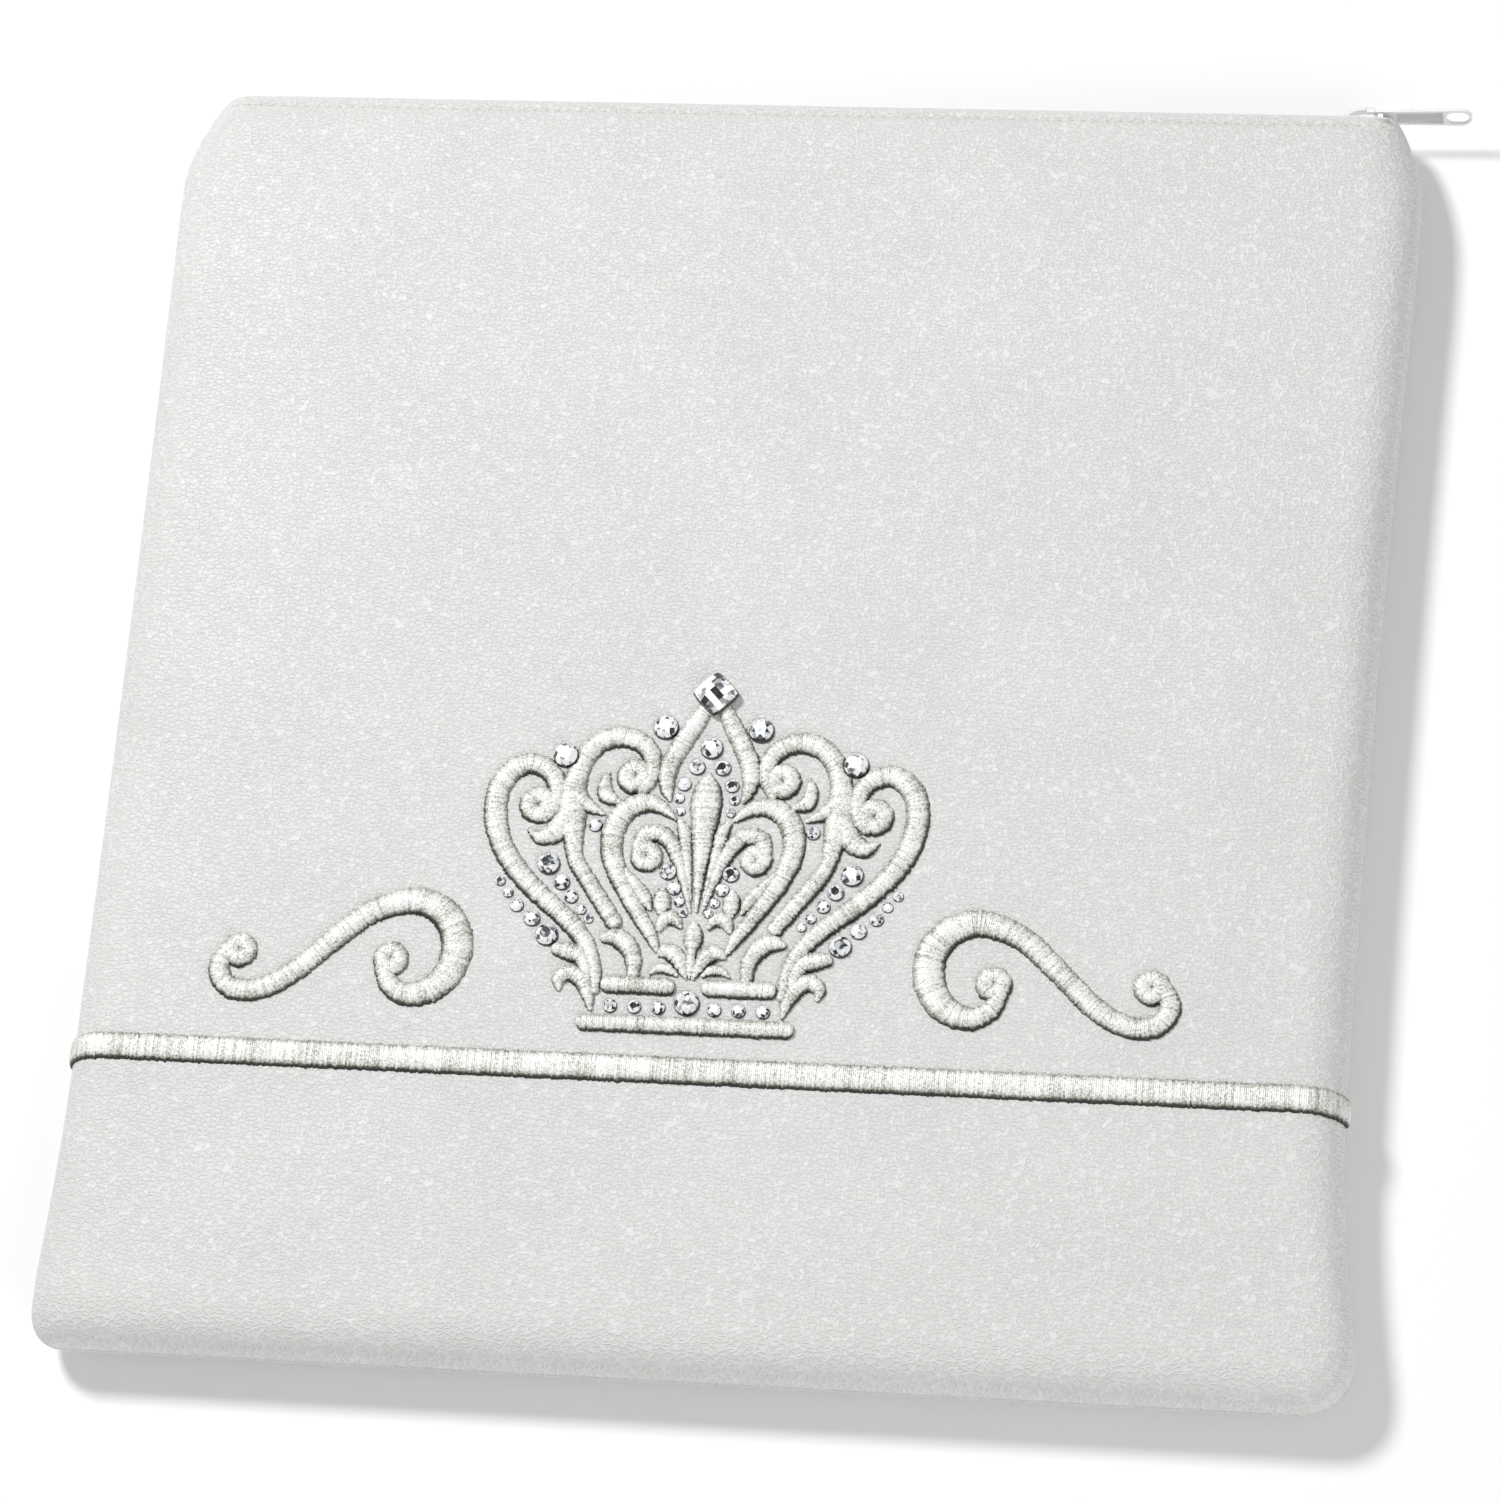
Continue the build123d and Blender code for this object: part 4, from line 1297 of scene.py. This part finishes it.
def brilliant(diameter):
    """Vertices, faces and the girdle's faces, which get painted shade, of one round flat-back stone."""
    r = diameter / 2
    points = circle_of(16, r, 0)
    points += circle_of(16, 0.9 * r, GIRDLE_LEVEL * diameter)
    points += circle_of(8, 0.74 * r, MIDDLE_LEVEL * diameter, 0.5)
    points += circle_of(8, 0.48 * r, TABLE_LEVEL * diameter)
    faces = [tuple(reversed(range(16)))]
    faces += [(k, (k + 1) % 16, 16 + (k + 1) % 16, 16 + k) for k in range(16)]
    for k in range(8):
        girdle, middle, table = 16 + 2 * k, 32 + k, 40 + k
        faces += [
            (girdle, girdle + 1, middle),
            (girdle + 1, 16 + (2 * k + 2) % 16, middle),
            (table, middle, 40 + (k + 1) % 8),
            (girdle, middle, table, 32 + (k - 1) % 8),
        ]
    faces.append(tuple(range(40, 48)))
    return points, faces, slice(1, 17)


def painted_facet_reflections(count, dice):
    """Painted reflection: mostly bright facets, with about a quarter of them dark."""
    tones = dice.choice([-0.15, 0.05, 0.2, 0.42, 0.58], count, p=[0.12, 0.16, 0.2, 0.3, 0.22])
    return tones + dice.uniform(-0.03, 0.03, count)


def set_stones(node, stones, dice):
    """Joins placed stones into one piece with flat facets toned by painted reflection; keeps each stone
    rigid.
    """
    points, faces, tones, shares = [], [], [], []
    for (x, y, z), (shape, facets, girdle) in stones:
        start = len(points)
        points += [(x + a, y + b, z + c) for a, b, c in shape]
        faces += [tuple(start + index for index in facet) for facet in facets]
        # painted reflection: each facet gets its own tone
        tone = painted_facet_reflections(len(facets), dice)
        # painted shade on the girdle
        tone[girdle] = GIRDLE_PAINTED_SHADE
        tones.append(tone)
        shares += [float(opening_share(x))] * len(shape)
    piece = mesh_object(node + "_cut", points, faces, foiled_crystal)
    facet = piece.data.attributes.new("facet", "FLOAT", "FACE")
    facet.data.foreach_set("value", np.concatenate(tones).astype(np.float32))
    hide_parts(node)
    lift_with_front(piece, shares)
    return piece


# %% [markdown]
# Each stone is turned by its own chance angle, as a setter leaves it, and stands on the leather.
# The stones of one size are one piece, because the construction model has them in one node.

# %% Set the stones
dice = np.random.default_rng(5)
for size, (diameter, places) in stone_places.items():
    stones = []
    for u, v in places + [(-u, v) for u, v in places if u > 0]:
        x, y = CROWN_X + u, CROWN_Y + v
        turn = dice.uniform(0, math.pi)
        shape, facets, girdle = brilliant(diameter)
        turned = [
            (a * math.cos(turn) - b * math.sin(turn), a * math.sin(turn) + b * math.cos(turn), c)
            for a, b, c in shape
        ]
        stones.append(((x, y, surface_z(x, y)), (turned, facets, girdle)))
    set_stones(f"stones_{size}", stones, dice)
print("stones", {size: len(places) for size, (_, places) in stone_places.items()})

# %% [markdown]
# The square stone is cut like a chessboard: its crown is a grid of small facets that curve down
# to the girdle. It is set cornerwise on the tips of the two peak arms.

# %% Square stone
CHEQUERS = 5
TOP_SHARE = 0.92
SQUARE_SIDE = 10.0
SQUARE_GIRDLE = 1.2


def chequer_cut(side, girdle, crown):
    """A square grid whose facets curve down to the girdle, closed below by a flat back."""
    steps = np.linspace(-1, 1, CHEQUERS + 1)
    inner = TOP_SHARE * side / 2
    top = []
    for t in steps:
        for s in steps:
            fall = max(abs(s), abs(t)) ** 2.4
            shrink = 1 - 0.1 * (abs(s) * abs(t)) ** 3
            top.append((s * inner * shrink, t * inner * shrink, girdle + crown * (1 - fall)))
    bottom = [(x / TOP_SHARE, y / TOP_SHARE, 0.0) for x, y, _ in top]
    points = top + bottom
    size = CHEQUERS + 1
    index = np.arange(size * size).reshape(size, size)
    faces = []
    for i in range(CHEQUERS):
        for j in range(CHEQUERS):
            a, b, c, d = index[i, j], index[i, j + 1], index[i + 1, j + 1], index[i + 1, j]
            faces.append((a, b, c, d))
    faces += [tuple(size * size + k for k in reversed(face)) for face in faces]
    ring = [*index[0, :-1], *index[:-1, -1], *index[-1, :0:-1], *index[:0:-1, 0]]
    for a, b in zip(ring, ring[1:] + ring[:1]):
        faces.append((b, a, a + size * size, b + size * size))
    turn = math.sqrt(0.5)
    points = [((x - y) * turn, (x + y) * turn, z) for x, y, z in points]
    return points, [tuple(int(k) for k in face) for face in faces], slice(2 * CHEQUERS**2, None)


square_low, square_high = node_box("stone_square")
square_centre = (square_low + square_high) / 2
square_crown = square_high[2] - square_low[2] - SQUARE_GIRDLE
cut_square = chequer_cut(SQUARE_SIDE, SQUARE_GIRDLE, square_crown)
seat = (square_centre[0], square_centre[1], square_low[2])
# its facets get painted reflection and its sides painted shade, as for the round stones
set_stones("stone_square", [(seat, cut_square)], np.random.default_rng(12))
print("square stone", len(cut_square[1]), "facets")

# %% [markdown]
# A row of stitches closes the leather over each zip tape. One stitch is a short capsule half
# sunk in its groove. It starts as a small ball with an odd number of rings, whose halves are
# pulled apart. The row repeats it at an even pitch, each copy tilted with the leather.

# %% Topstitches
STITCH_PITCH = 3.3
STITCH_LENGTH = 2.5
STITCH_RADIUS = 0.32
STITCH_PROUD = 0.05
cotton, _, _ = new_material("bonded sewing thread", Roughness=0.5, Base_Color=colour("DCDBD8"))


def one_stitch():
    """A short capsule along X: a ball of few faces with its two halves pulled apart."""
    bpy.ops.mesh.primitive_uv_sphere_add(
        segments=8, ring_count=5, radius=STITCH_RADIUS * MM, rotation=(0, math.pi / 2, 0)
    )
    ball = bpy.context.object
    bpy.ops.object.transform_apply(location=True, rotation=True, scale=True)
    for side in (1, -1):
        bpy.ops.object.mode_set(mode="EDIT")
        bpy.ops.mesh.select_all(action="DESELECT")
        bpy.ops.object.mode_set(mode="OBJECT")
        for vertex in ball.data.vertices:
            vertex.select = vertex.co.x * side > 0
        bpy.ops.object.mode_set(mode="EDIT")
        pull_apart = side * (STITCH_LENGTH / 2 - STITCH_RADIUS) * MM
        bpy.ops.transform.translate(value=(pull_apart, 0, 0))
        bpy.ops.object.mode_set(mode="OBJECT")
    ball.data.materials.append(cotton)
    return ball


def topstitch_row(name, under):
    """Copies of one stitch along the mouth, joined; under puts them on the back."""
    pattern = one_stitch()
    y = stitch_row_y()
    copies = []
    for x in np.arange(MOUTH_LEFT - 6, MOUTH_RIGHT + 5, STITCH_PITCH):
        slope = math.atan2(surface_z(x + 1, y) - surface_z(x - 1, y), 2)
        z = surface_z(x, y) + STITCH_PROUD
        place = Vector((x, y, 2 * SEAM - z if under else z)) * MM
        tilt = Matrix.Rotation(slope if under else -slope, 4, "Y")
        made = pattern.copy()
        made.data = pattern.data.copy()
        made.matrix_world = Matrix.Translation(place) @ tilt
        bpy.context.scene.collection.objects.link(made)
        copies.append(made)
    bpy.data.objects.remove(pattern)
    bpy.context.view_layer.update()
    row = copies[0]
    make_active(row)
    for made in copies:
        made.select_set(True)
    bpy.ops.object.join()
    bpy.ops.object.transform_apply(location=True, rotation=True, scale=True)
    row.name = name
    row.data.shade_smooth()
    return row


front_row = topstitch_row("front_topstitches", under=False)
back_row = topstitch_row("back_topstitches", under=True)
lift_with_front(front_row)
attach(back_row, "back")
print("topstitches", len(front_row.data.polygons) + len(back_row.data.polygons), "faces")

# %% [markdown]
# The zip is nylon coil sewn to woven tape. Each row is one wire wound into loops, and the loops
# of the two rows stand half a pitch apart. Near the slider its post holds the rows away from
# each other, exactly as in the construction model.

# %% Zip tapes and coils
tape_weave = woven_material("woven polyester zip tape", "C9C8C3", "ECEBE7", DRAWN_WEAVE, 0.7)
nylon, _, _ = new_material("nylon coil", Roughness=0.3, Base_Color=colour("E4E3DE"))
COIL_PITCH = 1.6
WIRE = 0.27
COIL_SPREAD = 1.5
WIRE_SIDES = 5
POST_LENGTH = 3.6
TAPE_CUTS = 60
TAPE_WAVE = 0.06
slider_right = slider_high[0]
spread_start = slider_right - POST_LENGTH - 2 * COIL_SPREAD


def zip_tape(name, node):
    """A long strip with a slight wave along it, made from a subdivided box."""
    low, high = node_box(node)
    bpy.ops.mesh.primitive_cube_add(size=1)
    strip = bpy.context.object
    strip.name = name
    strip.scale = (high - low) * MM
    strip.location = (low + high) / 2 * MM
    bpy.ops.object.transform_apply(location=True, rotation=True, scale=True)
    bpy.ops.object.mode_set(mode="EDIT")
    bpy.ops.mesh.select_all(action="SELECT")
    bpy.ops.mesh.subdivide(number_cuts=TAPE_CUTS)
    bpy.ops.object.mode_set(mode="OBJECT")
    strip.data.materials.append(tape_weave)
    points = read_points(strip)
    points[:, 1] += TAPE_WAVE * np.sin(points[:, 0] / 4.1)
    write_points(strip, points)
    strip.data.shade_smooth()
    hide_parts(node)
    return strip


def zip_coil(name, node, start, side):
    """One wound row; side is 1 on the front and -1 on the back."""
    low, high = node_box(node)
    count = int((slider_right - start) / COIL_PITCH)
    bottom, top = low[1] + WIRE, high[1] - WIRE
    middle = (bottom + top) / 2
    # along the zip, out from the seam, and up the pouch
    loop = [
        (0.35, 1.9, bottom),
        (0.35, 0.3, bottom),
        (0.35, -0.36, middle - 0.22),
        (0.35, -0.36, middle + 0.22),
        (0.35, 0.3, top),
        (0.35, 1.5, top),
        (0.6, 1.93, top - 0.25),
        (1.1, 1.93, bottom + 0.3),
    ]
    path = []
    for turn in range(count):
        for x, out, y in loop:
            place = start + turn * COIL_PITCH + x
            aside = COIL_SPREAD * min(max((place - spread_start) / (2 * COIL_SPREAD), 0), 1)
            path.append((place, y, SEAM + side * (out + aside)))
    path = np.array(path)
    ahead = np.gradient(path, axis=0)
    ahead /= np.linalg.norm(ahead, axis=1)[:, None]
    first = np.cross(ahead, (0.57, 0.33, 0.75))
    first /= np.linalg.norm(first, axis=1)[:, None]
    second = np.cross(ahead, first)
    points = []
    for centre, a, b in zip(path, first, second):
        for k in range(WIRE_SIDES):
            angle = 2 * math.pi * k / WIRE_SIDES
            points.append(centre + WIRE * (math.cos(angle) * a + math.sin(angle) * b))
    row = mesh_object(name, points, ring_faces(len(path), WIRE_SIDES, 0), nylon)
    face_outward(row)
    row.data.shade_smooth()
    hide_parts(node)
    return row


front_coil_low, _ = node_box("front_zip_coil")
back_coil_low, _ = node_box("back_zip_coil")
front_tape = zip_tape("front_tape", "front_zip_tape")
back_tape = zip_tape("back_tape", "back_zip_tape")
front_coil = zip_coil("front_coil", "front_zip_coil", front_coil_low[0], 1)
back_coil = zip_coil("back_coil", "back_zip_coil", back_coil_low[0], -1)
lift_with_front(front_tape)
lift_with_front(front_coil)
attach(back_tape, "back")
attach(back_coil, "back")
print("coils", len(front_coil.data.polygons), "and", len(back_coil.data.polygons), "faces")

# %% [markdown]
# Slider, bridge, pull and stops are die-cast zinc. Their construction solids have the right
# shape, so each is copied and given worn, rounded edges. The slider and pull are finished in
# white enamel with grey flecks, and the pull's sunk panel is left a mid grey.

# %% Metal parts
SHARP_EDGE = 0.6
SMOOTH_BELOW = math.radians(40)
MERGE_WITHIN = 0.00001


def enamel_material(name, base, fleck):
    """Stoved paint with small flecks, under a clear glossy coat."""
    enamel, tree, surface = new_material(name, Roughness=0.28)
    place = add(tree, "ShaderNodeTexCoord").outputs["Object"]
    specks = add(
        tree, "ShaderNodeTexNoise", {"Vector": place, "Scale": per_mm(0.7), "Detail": 4.0}
    )
    tint = ramp(tree, specks.outputs["Fac"], [(0.3, fleck), (0.36, base)])
    tree.links.new(tint, surface.inputs["Base Color"])
    surface.inputs["Coat Weight"].default_value = 0.5
    surface.inputs["Coat Roughness"].default_value = 0.1
    return enamel


white_enamel = enamel_material("white stove enamel", "F4F4F3", "A9A9A7")
grey_enamel = enamel_material("grey sunk enamel", "CBCBCA", "A6A6A4")
zinc, _, _ = new_material(
    "nickel-plated zinc", Roughness=0.32, Base_Color=colour("D4D3CF"), Metallic=0.9
)


def cast_part(name, node, material, body, edge):
    """A copy of a construction solid with its edges rounded by a bevel."""
    piece = frame["nodes"][node].copy()
    piece.data = piece.data.copy()
    piece.name = name
    piece.parent = None
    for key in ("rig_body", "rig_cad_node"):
        if key in piece:
            del piece[key]
    bpy.context.scene.collection.objects.link(piece)
    piece.data.materials.clear()
    piece.data.materials.append(material)
    make_active(piece)
    bpy.ops.object.mode_set(mode="EDIT")
    bpy.ops.mesh.select_all(action="SELECT")
    bpy.ops.mesh.remove_doubles(threshold=MERGE_WITHIN)
    bpy.ops.object.mode_set(mode="OBJECT")
    apply_modifier(
        piece,
        "BEVEL",
        width=edge * MM,
        segments=2,
        limit_method="ANGLE",
        angle_limit=SHARP_EDGE,
    )
    piece.data.shade_smooth()
    make_active(piece)
    bpy.ops.object.shade_smooth_by_angle(angle=SMOOTH_BELOW)
    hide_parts(node)
    if body:
        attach(piece, body)
    return piece


cast_part("slider_cast", "slider_body", white_enamel, "slider", 0.25)
cast_part("bridge_cast", "slider_bridge", white_enamel, "slider", 0.2)
pull = cast_part("pull_cast", "pull_tab", white_enamel, "pull", 0.16)
cast_part("back_stop", "back_top_stop", zinc, "back", 0.12)
cast_part("closed_end_stop", "zip_bottom_stop", zinc, "back", 0.12)
front_stop = cast_part("front_stop", "front_top_stop", zinc, None, 0.12)
stop_share = float(opening_share(read_points(front_stop)[:, 0].mean()))
lift_with_front(front_stop, [stop_share] * len(front_stop.data.vertices))

# %% [markdown]
# The pull has a sunk panel of a darker grey. Its faces are found by their place in the pull's
# own axes, which start at its hinge and have the small rise and twist that it lies at.

# %% The pull's sunk panel
PULL_RISE = math.radians(1)
PULL_TWIST = math.radians(-17)
RECESS_LEVEL = 0.3
RECESS_NEAR = 7
RECESS_FAR = 21
hinge = next(joint for joint in frame["joints"] if joint["name"] == "pull_swing")
standing = Matrix.Rotation(PULL_RISE, 4, "Z") @ Matrix.Rotation(PULL_TWIST + math.pi / 2, 4, "X")
own_axes = (Matrix.Translation(hinge["pos_m"]) @ standing).inverted()
pull.data.materials.append(grey_enamel)
sunk = 0
for face in pull.data.polygons:
    centre = own_axes @ face.center / MM
    on_level = abs(abs(centre.z) - RECESS_LEVEL) < 0.05
    if on_level and RECESS_NEAR < centre.x < RECESS_FAR:
        face.material_index = 1
        sunk += 1
print("metal parts, with", sunk, "faces in the pull's sunk panel")

# %% [markdown]
# Last, the selection is cleared.

# %% Finish
bpy.ops.object.select_all(action="DESELECT")
